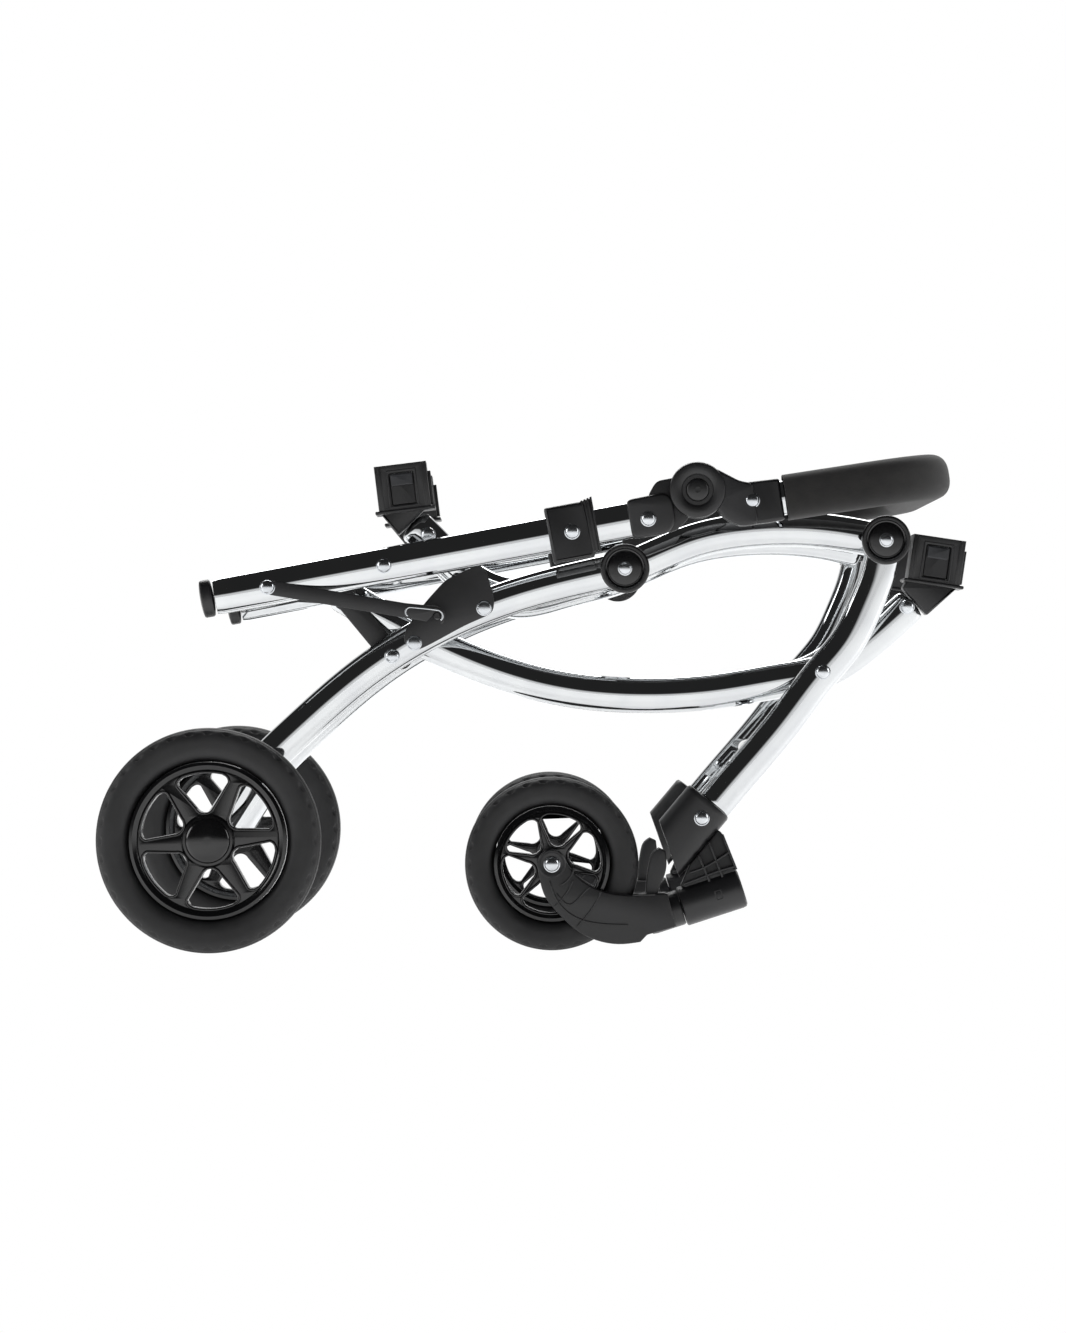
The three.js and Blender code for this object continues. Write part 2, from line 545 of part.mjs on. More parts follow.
function handleTube(side) {
  const y = side * HANDLE_Y;
  const outer = HANDLE_Y + HALF_WIDE;
  const end = LOWER_JOINT_SPAN[0] + TUBE_INTO_JOINT;
  let tube = ovalTube(sideLine(onHandle(HANDLE_START), onHandle(end), y), 2);
  const pin = crossBar(HANDLE_PIVOT, HANDLE_PIN_RADIUS, side * (SUPPORT_Y - ARM_HALF), side * outer, 14);
  const collar = crossBar(HANDLE_PIVOT, HANDLE_PIN_RADIUS + 3,
    side * (SUPPORT_Y + ARM_HALF + GAP), side * (HANDLE_Y - HALF_WIDE + 1));
  tube = join(tube, pin, collar, domeHead(HANDLE_PIVOT, RIVET_RADIUS, RIVET_HEIGHT, outer - 1, side));
  if (side < 0) {
    const headBase = outer + LOCK_THICKNESS + 1.1;
    tube = join(tube, crossBar(LOCK_PIVOT, LOCK_PIN_RADIUS, -(outer - 2), -(headBase + 0.1), 12),
      domeHead(LOCK_PIVOT, 2 * LOCK_PIN_RADIUS, 3, headBase, side));
  }
  add(`handle_tube_${sideName(side)}`, tube, 'chrome');
}

function handleCap(side) {
  const y = side * HANDLE_Y;
  const seat = onHandle(HANDLE_START - GAP);
  const head = ovalBar(sideLine(onHandle(HANDLE_START - 12.5), seat, y),
    TUBE_HEIGHT + 1.5, TUBE_WIDTH + 1.5, 1);
  const inset = 2 * (TUBE_WALL + GAP) + 0.8;
  const plug = ovalBar(sideLine(seat, onHandle(HANDLE_START + 14), y),
    TUBE_HEIGHT - inset, TUBE_WIDTH - inset, 1, 8);
  add(`handle_end_cap_${sideName(side)}`, join(head, plug.translate([-GAP, 0, -0.05])), 'plastic');
}

function heightSleeve(side) {
  const y = side * HANDLE_Y;
  const [from, to] = SLEEVE_SPAN;
  const collar = join(onHandleSlab(from, to - 8, -HALF_HIGH - 10, HALF_HIGH + 8, y, SLEEVE_HALF),
    onHandleSlab(to - 9, to, -HALF_HIGH - 6, HALF_HIGH + 8, y, SLEEVE_HALF));
  const seat = tubeSeat(onHandle(from - 5), onHandle(to + 5), y, SEAT_PLAY);
  add(`handle_sleeve_${sideName(side)}`, cut(collar, seat), 'plastic');
}

// lower half of the handle joint: a clamp on the tube, and the disc that turns between two covers
function lowerJoint(side) {
  const y = side * HANDLE_Y;
  const [from, to] = LOWER_JOINT_SPAN;
  const clamp = onHandleSlab(from, to - 4, -HALF_HIGH - 3, HALF_HIGH + 3, y, CLAMP_HALF);
  const disc = slab(circleShape(JOINT_CENTRE, JOINT_RADIUS - 3), y - CHEEK_HALF, y + CHEEK_HALF);
  const outline = placed([[from + 24, -HALF_HIGH - 3], [to, -HALF_HIGH - 1], [to + 14, -6], [to + 12, 30],
    [from + 30, 30], [from + 20, HALF_HIGH + 3]], HANDLE_PIVOT, HANDLE_ANGLE);
  const body = join(clamp, slab(outline, y - CHEEK_HALF, y + CHEEK_HALF), disc);
  const seat = tubeSeat(onHandle(from - 5), onHandle(from + TUBE_INTO_JOINT + GAP), y, SEAT_PLAY);
  const hole = bore(JOINT_CENTRE, CHEEK_BORE, y, 24);
  add(`handle_joint_lower_${sideName(side)}`, cut(body, seat, hole), 'plastic');
}

// upper half of the joint: two round covers outside the cheeks and the arm that holds the bar
function upperJoint(side) {
  const y = side * HANDLE_Y;
  const disc = circleShape(JOINT_CENTRE, JOINT_RADIUS);
  const reliefHalf = CHEEK_HALF + GAP;
  const covers = [-1, 1].map((part) => slab(disc, y + part * reliefHalf, y + part * JOINT_HALF));
  const arm = slab(placed([[-40, -HALF_HIGH - 3], [-12, -HALF_HIGH - 5], [2, -HALF_HIGH - 4],
    [2, HALF_HIGH + 2], [-40, HALF_HIGH + 3]], GRIP_START, GRIP_ANGLE), y - CLAMP_HALF, y + CLAMP_HALF);
  const relief = slab(circleShape(JOINT_CENTRE, JOINT_RADIUS + 1), y - reliefHalf, y + reliefHalf);
  const outline = placed([[-62, 0], [-52, -12], [-38, -HALF_HIGH - 4], [-20, -HALF_HIGH - 4],
    [-20, HALF_HIGH + 1], [-32, HALF_HIGH + 5], [-56, 38]], GRIP_START, GRIP_ANGLE);
  const back = slab(outline, y - JOINT_HALF, y + JOINT_HALF);
  const onGrip = (distance) => polar(GRIP_START, distance, GRIP_ANGLE);
  const seat = tubeSeat(onGrip(-BAR_INTO_JOINT - 2), onGrip(10), y, SEAT_PLAY);
  const wellBottom = HANDLE_Y + CHEEK_HALF + 1;
  const well = crossBar(JOINT_CENTRE, BUTTON_WELL, side * wellBottom, side * (wellBottom + 30), 24);
  const hub = crossBar(JOINT_CENTRE, JOINT_HUB,
    side * (HANDLE_Y - JOINT_HALF + 1), side * (wellBottom + 0.5), 24);
  const body = cut(join(covers[0], cut(join(arm, back), relief), covers[1]), seat, well);
  add(`handle_joint_upper_${sideName(side)}`, join(body, hub), 'plastic');
}

function jointButton(side) {
  const outer = HANDLE_Y + JOINT_HALF;
  const button = crossBar(JOINT_CENTRE, BUTTON_RADIUS, side * (outer - 6), side * (outer + 1), 24);
  add(`handle_joint_button_${sideName(side)}`, button, 'plastic');
}

// U-shaped path of the handle bar between y = -reach and y = +reach
function barPath(start, reach) {
  const corner = GRIP_CORNER;
  const at = (distance, y) => {
    const [x, z] = polar(start, distance, GRIP_ANGLE);
    return new THREE.Vector3(x, y, z);
  };
  const length = distanceOf(start, GRIP_END);
  const path = new THREE.CurvePath();
  const straight = length - corner;
  path.add(new THREE.LineCurve3(at(0, -reach), at(straight, -reach)));
  path.add(new THREE.QuadraticBezierCurve3(
    at(straight, -reach), at(length, -reach), at(length, corner - reach)));
  path.add(new THREE.LineCurve3(at(length, corner - reach), at(length, reach - corner)));
  path.add(new THREE.QuadraticBezierCurve3(
    at(length, reach - corner), at(length, reach), at(straight, reach)));
  path.add(new THREE.LineCurve3(at(straight, reach), at(0, reach)));
  return path;
}

function handleBar() {
  const along = (outline, distance) => solid(new THREE.ExtrudeGeometry(outline, { steps: 28,
    bevelEnabled: false, extrudePath: barPath(polar(GRIP_START, distance, GRIP_ANGLE), HANDLE_Y) }));
  add('handle_bar', along(new THREE.Shape(roundShape(BAR_RADIUS, 8)), -BAR_INTO_JOINT), 'chrome');
  const sleeve = new THREE.Shape(roundShape(GRIP_RADIUS, 12));
  sleeve.holes.push(new THREE.Path(roundShape(BAR_RADIUS + GRIP_PLAY, 8)));
  add('foam_grip', along(sleeve, 6), 'foam');
}

// ---------- lock bar ----------
function lockBar() {
  const inner = HANDLE_Y + HALF_WIDE + 2 * GAP;
  const length = distanceOf(LOCK_PIVOT, LOCK_STUD);
  const outline = placed([[-7, -4], [-4, -6.5], [length - 9, -6.5], [length - 3.8, 0], [length - 2, 3.4],
    [length + 2, 3.4], [length + 3.8, 0], [length + 4, -6.5], [length + 7, -4], [length + 7, 5],
    [length + 3, 8.5], [-4, 6.5], [-7, 4]], LOCK_PIVOT, angleOf(LOCK_PIVOT, LOCK_STUD));
  const bar = slab(outline, -inner, -(inner + LOCK_THICKNESS));
  add('lock_bar', cut(bar, bore(LOCK_PIVOT, LOCK_PIN_RADIUS + GAP, -inner, 12)), 'plastic');
}

for (const side of [-1, 1]) {
  rearWheel(side);
  frontWheel(side);
  rearLeg(side);
  upperSupport(side);
  lowerSupport(side);
  linkBar(side);
  frontLeg(side);
  swivelHousing(side);
  casterFork(side);
  frontBolt(side);
  swivelLever(side);
  sockets(side);
  pivotCap(`rear_pivot_cap_${sideName(side)}`, REAR_PIVOT, side);
  pivotCap(`front_pivot_cap_${sideName(side)}`, FRONT_PIVOT, side);
  handleTube(side);
  handleCap(side);
  heightSleeve(side);
  lowerJoint(side);
  upperJoint(side);
  jointButton(side);
}
rearAxle();
latchBracket();
crossTubes();
handleBar();
lockBar();

export default stroller;
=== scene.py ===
"""Looks of the folded stroller chassis: polished oval tubes, black plastic, foam tyres and a foam grip.

Every shape is worked out in millimetres in the row's frame: +X towards the swivel wheels, -Y the right side,
+Z up. Side-view points are (x, z). A side is -1 on the right and +1 on the left.
"""
import math

import bmesh
import bpy
import numpy as np
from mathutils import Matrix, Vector
from mathutils.geometry import tessellate_polygon


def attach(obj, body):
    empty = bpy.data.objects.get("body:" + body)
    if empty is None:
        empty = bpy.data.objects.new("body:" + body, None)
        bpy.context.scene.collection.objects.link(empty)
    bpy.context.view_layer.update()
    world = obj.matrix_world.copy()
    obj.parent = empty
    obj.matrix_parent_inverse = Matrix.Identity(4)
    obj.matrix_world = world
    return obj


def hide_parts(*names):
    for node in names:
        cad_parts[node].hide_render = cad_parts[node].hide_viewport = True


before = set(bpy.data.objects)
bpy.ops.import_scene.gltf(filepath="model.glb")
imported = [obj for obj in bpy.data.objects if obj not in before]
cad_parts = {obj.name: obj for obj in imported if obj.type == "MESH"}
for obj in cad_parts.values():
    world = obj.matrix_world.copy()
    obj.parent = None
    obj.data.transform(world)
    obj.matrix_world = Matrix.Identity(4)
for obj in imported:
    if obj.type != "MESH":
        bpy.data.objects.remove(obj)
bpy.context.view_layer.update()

MM = 0.001
SIDES = {"right": -1, "left": 1}

# layers across the stroller, and the sizes of what lies in them
SUPPORT_Y = 154
LEG_Y = 182
HANDLE_Y = 210
REAR_WHEEL_Y = 241
TUBE_HIGH = 32
TUBE_WIDE = 20
HALF_TUBE = TUBE_WIDE / 2
GRIP_RADIUS = 20.5
BAR_RADIUS = 9.5
GRIP_LENGTH = 137
GRIP_CORNER = 58
TYRE_SQUARENESS = 0.72

# main pivots and axles of the side view
REAR_AXLE = (-288, 100)
FRONT_AXLE = (16, 78)
REAR_PIVOT = (81.4, 342)
FRONT_PIVOT = (315, 367.4)
LOWER_PIVOT = (258.5, 249.5)
HANDLE_PIVOT = (-133.5, 344)
LINK_TOP = (-190, 340)
LINK_FOOT = (-126.9, 263.8)
LOCK_PIVOT = (-237, 324.8)
LOCK_STUD = (-86.2, 299.2)
SWIVEL_MIDDLE = (159.5, 48)
SWIVEL_ANGLE = 18
SWIVEL_AXIS = (math.cos(math.radians(SWIVEL_ANGLE)), 0, math.sin(math.radians(SWIVEL_ANGLE)))
JOINT_CENTRE = (145.4, 411.1)
HANDLE_ANGLE = 10.5
GRIP_ANGLE = 8.7

# centrelines of the bent tubes
REAR_LEG = [REAR_AXLE, (-263, 139), (-243, 166), (-214, 195), (-153, 247.8), (-82, 291.5), (-8, 320.4),
            (36, 332), REAR_PIVOT]
UPPER = [(-110, 384), (-93, 367.5), (-54, 331.5), (-15, 318.5), (28, 327), REAR_PIVOT, (145.4, 368),
         (193.3, 377), (240.5, 378.3), (285, 373.5), FRONT_PIVOT]
LOWER = [(-178, 322.5), (-118, 288.5), (-48, 256), (20, 236), (96, 228.7), (172, 233.5), (225, 242.5),
         LOWER_PIVOT, (301, 276), (342, 312.5)]
FRONT_LEG = [FRONT_PIVOT, (307, 334), (298, 311), (281, 277), LOWER_PIVOT, (226, 206.6), (181, 153),
             (158, 125.6)]


# ---------------------------------------------------------------- points
def polar(centre, distance, degrees):
    """The point at a distance from a centre, in a direction counted up from +X."""
    turn = math.radians(degrees)
    return (centre[0] + distance * math.cos(turn), centre[1] + distance * math.sin(turn))


def placed(points, centre, degrees):
    """Points given as (along, up), turned by some degrees and carried to a centre."""
    local = np.asarray(points, float)
    turn = math.radians(degrees)
    cos, sin = math.cos(turn), math.sin(turn)
    return np.column_stack([centre[0] + local[:, 0] * cos - local[:, 1] * sin,
                            centre[1] + local[:, 0] * sin + local[:, 1] * cos])


def on_handle(points):
    return placed(points, HANDLE_PIVOT, HANDLE_ANGLE)


def box(left, right, low, high):
    return [(left, low), (right, low), (right, high), (left, high)]


def heading(start, end):
    """The direction from one side-view point to another, in degrees up from +X."""
    return math.degrees(math.atan2(end[1] - start[1], end[0] - start[0]))


def across(y, side, near, far):
    """The lower and the higher y of what lies between two distances from a layer, on one side of it."""
    return sorted((y + side * near, y + side * far))


def directions(line):
    """The unit direction at each point of a line."""
    run = np.gradient(line, axis=0)
    return run / np.linalg.norm(run, axis=1, keepdims=True)


def squared(wave, power):
    """A sine or cosine whose section turns from round towards square as the power falls below 1."""
    return np.sign(wave) * np.abs(wave) ** power


def smooth_path(points, count):
    """A cubic spline through the points with even second derivatives, free at both ends: x and z are each
    cubic in the distance along the chords, and a linear system gives the bends."""
    knots = np.asarray(points, float)
    chord = np.concatenate([[0], np.cumsum(np.linalg.norm(np.diff(knots, axis=0), axis=1))])
    gap = np.diff(chord)
    size = len(knots)
    system = np.eye(size)
    right = np.zeros_like(knots)
    inner = np.arange(1, size - 1)
    system[inner, inner - 1] = gap[:-1]
    system[inner, inner] = 2 * (gap[:-1] + gap[1:])
    system[inner, inner + 1] = gap[1:]
    slope = np.diff(knots, axis=0) / gap[:, None]
    right[1:-1] = 6 * np.diff(slope, axis=0)
    bend = np.linalg.solve(system, right)
    at = np.linspace(0, chord[-1], count)
    span = np.clip(np.searchsorted(chord, at, side="right") - 1, 0, size - 2)
    step = gap[span][:, None]
    before = (at - chord[span])[:, None]
    after = step - before
    return (bend[span] * after ** 3 / (6 * step) + bend[span + 1] * before ** 3 / (6 * step)
            + (knots[span] / step - bend[span] * step / 6) * after
            + (knots[span + 1] / step - bend[span + 1] * step / 6) * before)


def circle(centre, radius, count):
    """Points at even turns round a centre."""
    turn = np.radians(np.arange(count) * 360 / count)
    return np.column_stack([centre[0] + radius * np.cos(turn), centre[1] + radius * np.sin(turn)])


def arc(centre, radius, start, end, count=10):
    turn = np.radians(np.linspace(start, end, count))
    return np.column_stack([centre[0] + radius * np.cos(turn), centre[1] + radius * np.sin(turn)])


def rounded(points, radius, steps=5):
    """An outline with each corner replaced by a quadratic bend that starts a radius before it."""
    corners = np.asarray(points, float)
    into = np.roll(corners, 1, axis=0) - corners
    out = np.roll(corners, -1, axis=0) - corners
    reach_in = np.minimum(radius, 0.45 * np.linalg.norm(into, axis=1))[:, None]
    reach_out = np.minimum(radius, 0.45 * np.linalg.norm(out, axis=1))[:, None]
    first = corners + into / np.linalg.norm(into, axis=1, keepdims=True) * reach_in
    last = corners + out / np.linalg.norm(out, axis=1, keepdims=True) * reach_out
    t = np.linspace(0, 1, steps)[None, :, None]
    bends = first[:, None] * (1 - t) ** 2 + corners[:, None] * 2 * t * (1 - t) + last[:, None] * t ** 2
    return bends.reshape(-1, 2)


def strip(points, width):
    """The outline of a band of one width along an open line."""
    line = np.asarray(points, float)
    run = directions(line)
    sideways = np.column_stack([-run[:, 1], run[:, 0]]) * width / 2
    return np.concatenate([line - sideways, (line + sideways)[::-1]])


GRIP_START = polar(JOINT_CENTRE, 73.6, GRIP_ANGLE - 14.3)


# ---------------------------------------------------------------- meshes
def mesh_object(name, verts, faces, flat=(), sharp=38):
    """A mesh in metres from points in millimetres. Doubles are merged, normals face out, and faces listed in
    flat stay flat while the rest are smooth up to the sharp angle."""
    mesh = bpy.data.meshes.new(name)
    mesh.from_pydata((np.asarray(verts, float) * MM).tolist(), [], faces)
    smooth = np.ones(len(mesh.polygons), bool)
    smooth[list(flat)] = False
    mesh.polygons.foreach_set("use_smooth", smooth)
    work = bmesh.new()
    work.from_mesh(mesh)
    bmesh.ops.remove_doubles(work, verts=work.verts, dist=1e-6)
    bmesh.ops.dissolve_degenerate(work, edges=work.edges, dist=1e-7)
    bmesh.ops.recalc_face_normals(work, faces=work.faces)
    work.to_mesh(mesh)
    work.free()
    mesh.set_sharp_from_angle(angle=math.radians(sharp))
    obj = bpy.data.objects.new(name, mesh)
    bpy.context.scene.collection.objects.link(obj)
    return obj


def grid_faces(rows, cols, wrap_rows):
    """Quads of a grid of points. Its last column is joined to its first, and so are its rows if asked."""
    row = np.arange(rows if wrap_rows else rows - 1)[:, None]
    col = np.arange(cols)[None, :]
    here, right = row * cols + col, row * cols + (col + 1) % cols
    up, corner = (row + 1) % rows * cols + col, (row + 1) % rows * cols + (col + 1) % cols
    return np.stack([here, right, corner, up], -1).reshape(-1, 4).tolist()


def surface(name, grid, wrap_rows=False, sharp=38):
    rows, cols = grid.shape[:2]
    return mesh_object(name, grid.reshape(-1, 3), grid_faces(rows, cols, wrap_rows), (), sharp)


def turned(name, profile, centre, y, direction=(0, -1, 0), count=72, sharp=32):
    """A profile of (radius, distance along the axis) turned round an axis: point = centre + distance * axis
    + radius * (cos t * first + sin t * second)."""
    axis = Vector(direction).normalized()
    first = axis.orthogonal().normalized()
    second = axis.cross(first)
    radius, along = np.asarray(profile, float).T[:, :, None]
    turn = np.linspace(0, 2 * math.pi, count, endpoint=False)[None, :]
    round_part = (radius * np.cos(turn))[..., None] * np.array(first)
    round_part = round_part + (radius * np.sin(turn))[..., None] * np.array(second)
    origin = np.array([centre[0], y, centre[1]])
    grid = origin + along[..., None] * np.array(axis) + round_part
    closed = tuple(profile[0]) == tuple(profile[-1])
    if closed:
        grid = grid[:-1]
    return surface(name, grid, wrap_rows=closed, sharp=sharp)


def inset_ring(ring, distance):
    """A closed ring moved to its left by a distance, along the mean of each corner's two edge normals."""
    edge = np.roll(ring, -1, axis=0) - ring
    edge /= np.maximum(np.linalg.norm(edge, axis=1, keepdims=True), 1e-9)
    normal = np.column_stack([-edge[:, 1], edge[:, 0]])
    mean = normal + np.roll(normal, 1, axis=0)
    mean /= np.maximum(np.linalg.norm(mean, axis=1, keepdims=True), 1e-9)
    spread = np.maximum((mean * normal).sum(1, keepdims=True), 0.5)
    return ring + mean * distance / spread


def area(ring):
    following = np.roll(ring, -1, axis=0)
    return 0.5 * float((ring[:, 0] * following[:, 1] - following[:, 0] * ring[:, 1]).sum())


def clean_ring(ring, left):
    """A ring without repeated points, run so that the material lies on its left."""
    ring = np.asarray(ring, float)
    keep = np.linalg.norm(ring - np.roll(ring, 1, axis=0), axis=1) > 1e-3
    ring = ring[keep]
    return ring if (area(ring) > 0) == left else ring[::-1]


def plate(name, outline, y_low, y_high, edge=1.0, holes=()):
    """A side-view outline with holes, carried from y_low to y_high, with quarter-round edges."""
    rings = [clean_ring(outline, True)] + [clean_ring(hole, False) for hole in holes]
    t = np.radians([0, 30, 60, 90])
    inset = edge * (1 - np.sin(t))
    drop = edge * (1 - np.cos(t))
    insets = np.concatenate([inset, inset[::-1]])
    heights = np.concatenate([y_high - drop, (y_low + drop)[::-1]])
    verts, faces, flat = [], [], []
    caps = {0: [], len(insets) - 1: []}
    base = 0
    for ring in rings:
        size = len(ring)
        layers = [inset_ring(ring, distance) for distance in insets]
        for layer, height in zip(layers, heights):
            verts.append(np.column_stack([layer[:, 0], np.full(size, height), layer[:, 1]]))
        faces += [[base + i for i in face] for face in grid_faces(len(layers), size, False)]
        for level in caps:
            caps[level].append((base + level * size, layers[level]))
        base += len(layers) * size
    for level, entries in caps.items():
        index = np.concatenate([start + np.arange(len(ring)) for start, ring in entries])
        loops = [[Vector((p[0], p[1], 0)) for p in ring] for _, ring in entries]
        for triangle in tessellate_polygon(loops):
            flat.append(len(faces))
            faces.append([int(index[i]) for i in triangle])
    return mesh_object(name, np.concatenate(verts), faces, flat)


def swept(name, path, y, high, wide, tip=6, around=40, squareness=1.0):
    """An oval section carried along a side-view path at one y. Towards each end the section shrinks on a
    quarter circle over the tip's length, which closes the tube with a rounded end."""
    run = directions(path)
    up = np.column_stack([-run[:, 1], run[:, 0]])
    quarter = np.radians(np.linspace(0, 90, 6))[:-1]
    rows = [(path[0] + run[0] * tip * (1 - math.cos(q)), up[0], math.sin(q) * 0.94 + 0.06) for q in quarter]
    inner = (np.linalg.norm(path - path[0], axis=1) > tip) & (np.linalg.norm(path - path[-1], axis=1) > tip)
    rows += [(point, normal, 1.0) for point, normal in zip(path[inner], up[inner])]
    rows += [(path[-1] - run[-1] * tip * (1 - math.cos(q)), up[-1], math.sin(q) * 0.94 + 0.06)
             for q in quarter[::-1]]
    rows = [(rows[0][0], rows[0][1], 0.0)] + rows + [(rows[-1][0], rows[-1][1], 0.0)]
    turn = np.linspace(0, 2 * math.pi, around, endpoint=False)
    side = squared(np.cos(turn), squareness) * wide / 2
    lift = squared(np.sin(turn), squareness) * high / 2
    centres = np.array([row[0] for row in rows])
    normals = np.array([row[1] for row in rows])
    scale = np.array([row[2] for row in rows])[:, None]
    grid = np.empty((len(rows), around, 3))
    grid[..., 0] = centres[:, :1] + scale * lift * normals[:, :1]
    grid[..., 1] = y + scale * side
    grid[..., 2] = centres[:, 1:] + scale * lift * normals[:, 1:]
    return surface(name, grid)


def trimmed(piece, start, end):
    """Cuts a piece along the upright plane through two side-view points and closes the cut. What lies to the
    left of the way from start to end is taken off."""
    run = np.array(end, float) - np.array(start, float)
    work = bmesh.new()
    work.from_mesh(piece.data)
    normal = Vector((-run[1], 0, run[0])).normalized()
    point = Vector((start[0], 0, start[1])) * MM
    geometry = list(work.verts) + list(work.edges) + list(work.faces)
    cut = bmesh.ops.bisect_plane(work, geom=geometry, plane_co=point, plane_no=normal, clear_outer=True)
    edges = [item for item in cut["geom_cut"] if isinstance(item, bmesh.types.BMEdge)]
    filled = bmesh.ops.holes_fill(work, edges=edges, sides=0)
    for face in filled["faces"]:
        face.smooth = False
    bmesh.ops.recalc_face_normals(work, faces=work.faces)
    work.to_mesh(piece.data)
    work.free()
    return piece


def joined(name, *pieces):
    """One object from several, each a closed shell of its own."""
    work = bmesh.new()
    for piece in pieces:
        work.from_mesh(piece.data)
    mesh = bpy.data.meshes.new(name)
    work.to_mesh(mesh)
    work.free()
    for piece in pieces:
        bpy.data.objects.remove(piece)
    obj = bpy.data.objects.new(name, mesh)
    bpy.context.scene.collection.objects.link(obj)
    return obj


# ---------------------------------------------------------------- materials
def linear(hex_colour):
    """A colour written as sRGB hex, as Blender's linear numbers."""
    srgb = [int(hex_colour[i:i + 2], 16) / 255 for i in (1, 3, 5)]
    return [c / 12.92 if c <= 0.04045 else ((c + 0.055) / 1.055) ** 2.4 for c in srgb] + [1.0]


def add(tree, kind, links=(), **settings):
    """Adds a node. Settings name its properties or inputs, and links are (input, socket it takes)."""
    node = tree.nodes.new(kind)
    for key, value in settings.items():
        name = key.replace("_", " ")
        if hasattr(node, key):
            setattr(node, key, value)
        else:
            node.inputs[name].default_value = value
    for target, source in links:
        tree.links.new(source, node.inputs[target])
    return node


def new_material(name):
    material = bpy.data.materials.new(name)
    material.use_nodes = True
    tree = material.node_tree
    return material, tree, tree.nodes["Principled BSDF"]


def set_shader(shader, **values):
    for key, value in values.items():
        shader.inputs[key.replace("_", " ")].default_value = value


def ramp_colours(tree, source, low, high, low_at=0.35, high_at=0.65):
    ramp = add(tree, "ShaderNodeValToRGB", [("Fac", source)])
    ramp.color_ramp.elements[0].position = low_at
    ramp.color_ramp.elements[0].color = linear(low)
    ramp.color_ramp.elements[1].position = high_at
    ramp.color_ramp.elements[1].color = linear(high)
    return ramp.outputs["Color"]


def vary_roughness(tree, shader, source, low, high):
    rough = add(tree, "ShaderNodeMapRange", [("Value", source)])
    rough.inputs["To Min"].default_value = low
    rough.inputs["To Max"].default_value = high
    tree.links.new(rough.outputs["Result"], shader.inputs["Roughness"])


def grained(name, low, high, roughness, spread, grain, depth, patch=25.0, **shader_values):
    """A surface whose colour drifts between two shades in patches, with a fine grain of its own size.
    Sizes are millimetres: patch is the width of a shade, grain the width of a bump, depth its height."""
    material, tree, shader = new_material(name)
    place = add(tree, "ShaderNodeTexCoord").outputs["Object"]
    shade = add(tree, "ShaderNodeTexNoise", [("Vector", place)], Scale=1000 / patch, Detail=4.0)
    colour = ramp_colours(tree, shade.outputs["Fac"], low, high)
    tree.links.new(colour, shader.inputs["Base Color"])
    vary_roughness(tree, shader, shade.outputs["Fac"], roughness - spread, roughness + spread)
    bumps = add(tree, "ShaderNodeTexNoise", [("Vector", place)], Scale=1000 / grain, Detail=3.0)
    bump = add(tree, "ShaderNodeBump", [("Height", bumps.outputs["Fac"])], Strength=0.7)
    bump.inputs["Distance"].default_value = depth * MM
    tree.links.new(bump.outputs["Normal"], shader.inputs["Normal"])
    set_shader(shader, **shader_values)
    return material


def polished_metal(name, low, high, roughness):
    """Bright metal with faint polishing marks in soft patches."""
    material, tree, shader = new_material(name)
    place = add(tree, "ShaderNodeTexCoord").outputs["Object"]
    streak = add(tree, "ShaderNodeTexNoise", [("Vector", place)], Scale=35.0, Detail=2.0)
    colour = ramp_colours(tree, streak.outputs["Fac"], low, high)
    tree.links.new(colour, shader.inputs["Base Color"])
    vary_roughness(tree, shader, streak.outputs["Fac"], roughness * 0.6, roughness * 1.5)
    set_shader(shader, Metallic=1.0)
    return material


MATERIALS = {
    # chromium plate on polished steel tube: a near mirror
    "polished_tube": polished_metal("chromium_plated_tube", "#c4c6c8", "#c9cbcc", 0.045),
    # bright zinc plate on pressed steel rivets and bolts
    "bright_steel": polished_metal("zinc_plated_rivet", "#b9bcc0", "#cdd0d3", 0.22),
    # glass-filled nylon, spark-eroded mould: a satin black with a fine even texture
    "black_plastic": grained("textured_black_nylon", "#0d0d0e", "#141416", roughness=0.40, spread=0.05,
                             grain=1.1, depth=0.05, patch=30.0, IOR=1.53),
    # ABS from a polished mould: deep black with clear highlights and a slight ripple
    "gloss_black": grained("polished_black_abs", "#070708", "#0b0b0c", roughness=0.16, spread=0.04,
                           grain=9.0, depth=0.02, patch=40.0, IOR=1.54),
    # EVA foam tyre, moulded: a dull black skin with fine pits and a little dust in patches
    "tyre_foam": grained("moulded_eva_tyre", "#131314", "#1d1d1e", roughness=0.62, spread=0.07,
                         grain=1.6, depth=0.10, patch=18.0, IOR=1.5),
    # closed-cell rubber foam sleeve: matte, with visible small cells
    "grip_foam": grained("black_foam_sleeve", "#0f0e0e", "#181716", roughness=0.88, spread=0.05,
                         grain=1.4, depth=0.22, patch=12.0, IOR=1.45, Sheen_Weight=0.12, Sheen_Roughness=0.6),
    # polypropylene, moulded: dark grey, a little lighter than the housing round it
    "grey_button": grained("moulded_grey_polypropylene", "#1c1d1f", "#26272a", roughness=0.38, spread=0.05,
                           grain=1.2, depth=0.04, patch=15.0, IOR=1.49),
}


def finish_piece(piece, body, slot, *nodes):
    """Gives a piece its finish, the body that it rides on, and the CAD nodes that it stands for."""
    piece.data.materials.clear()
    piece.data.materials.append(MATERIALS[slot])
    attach(piece, body)
    if nodes:
        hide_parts(*nodes)


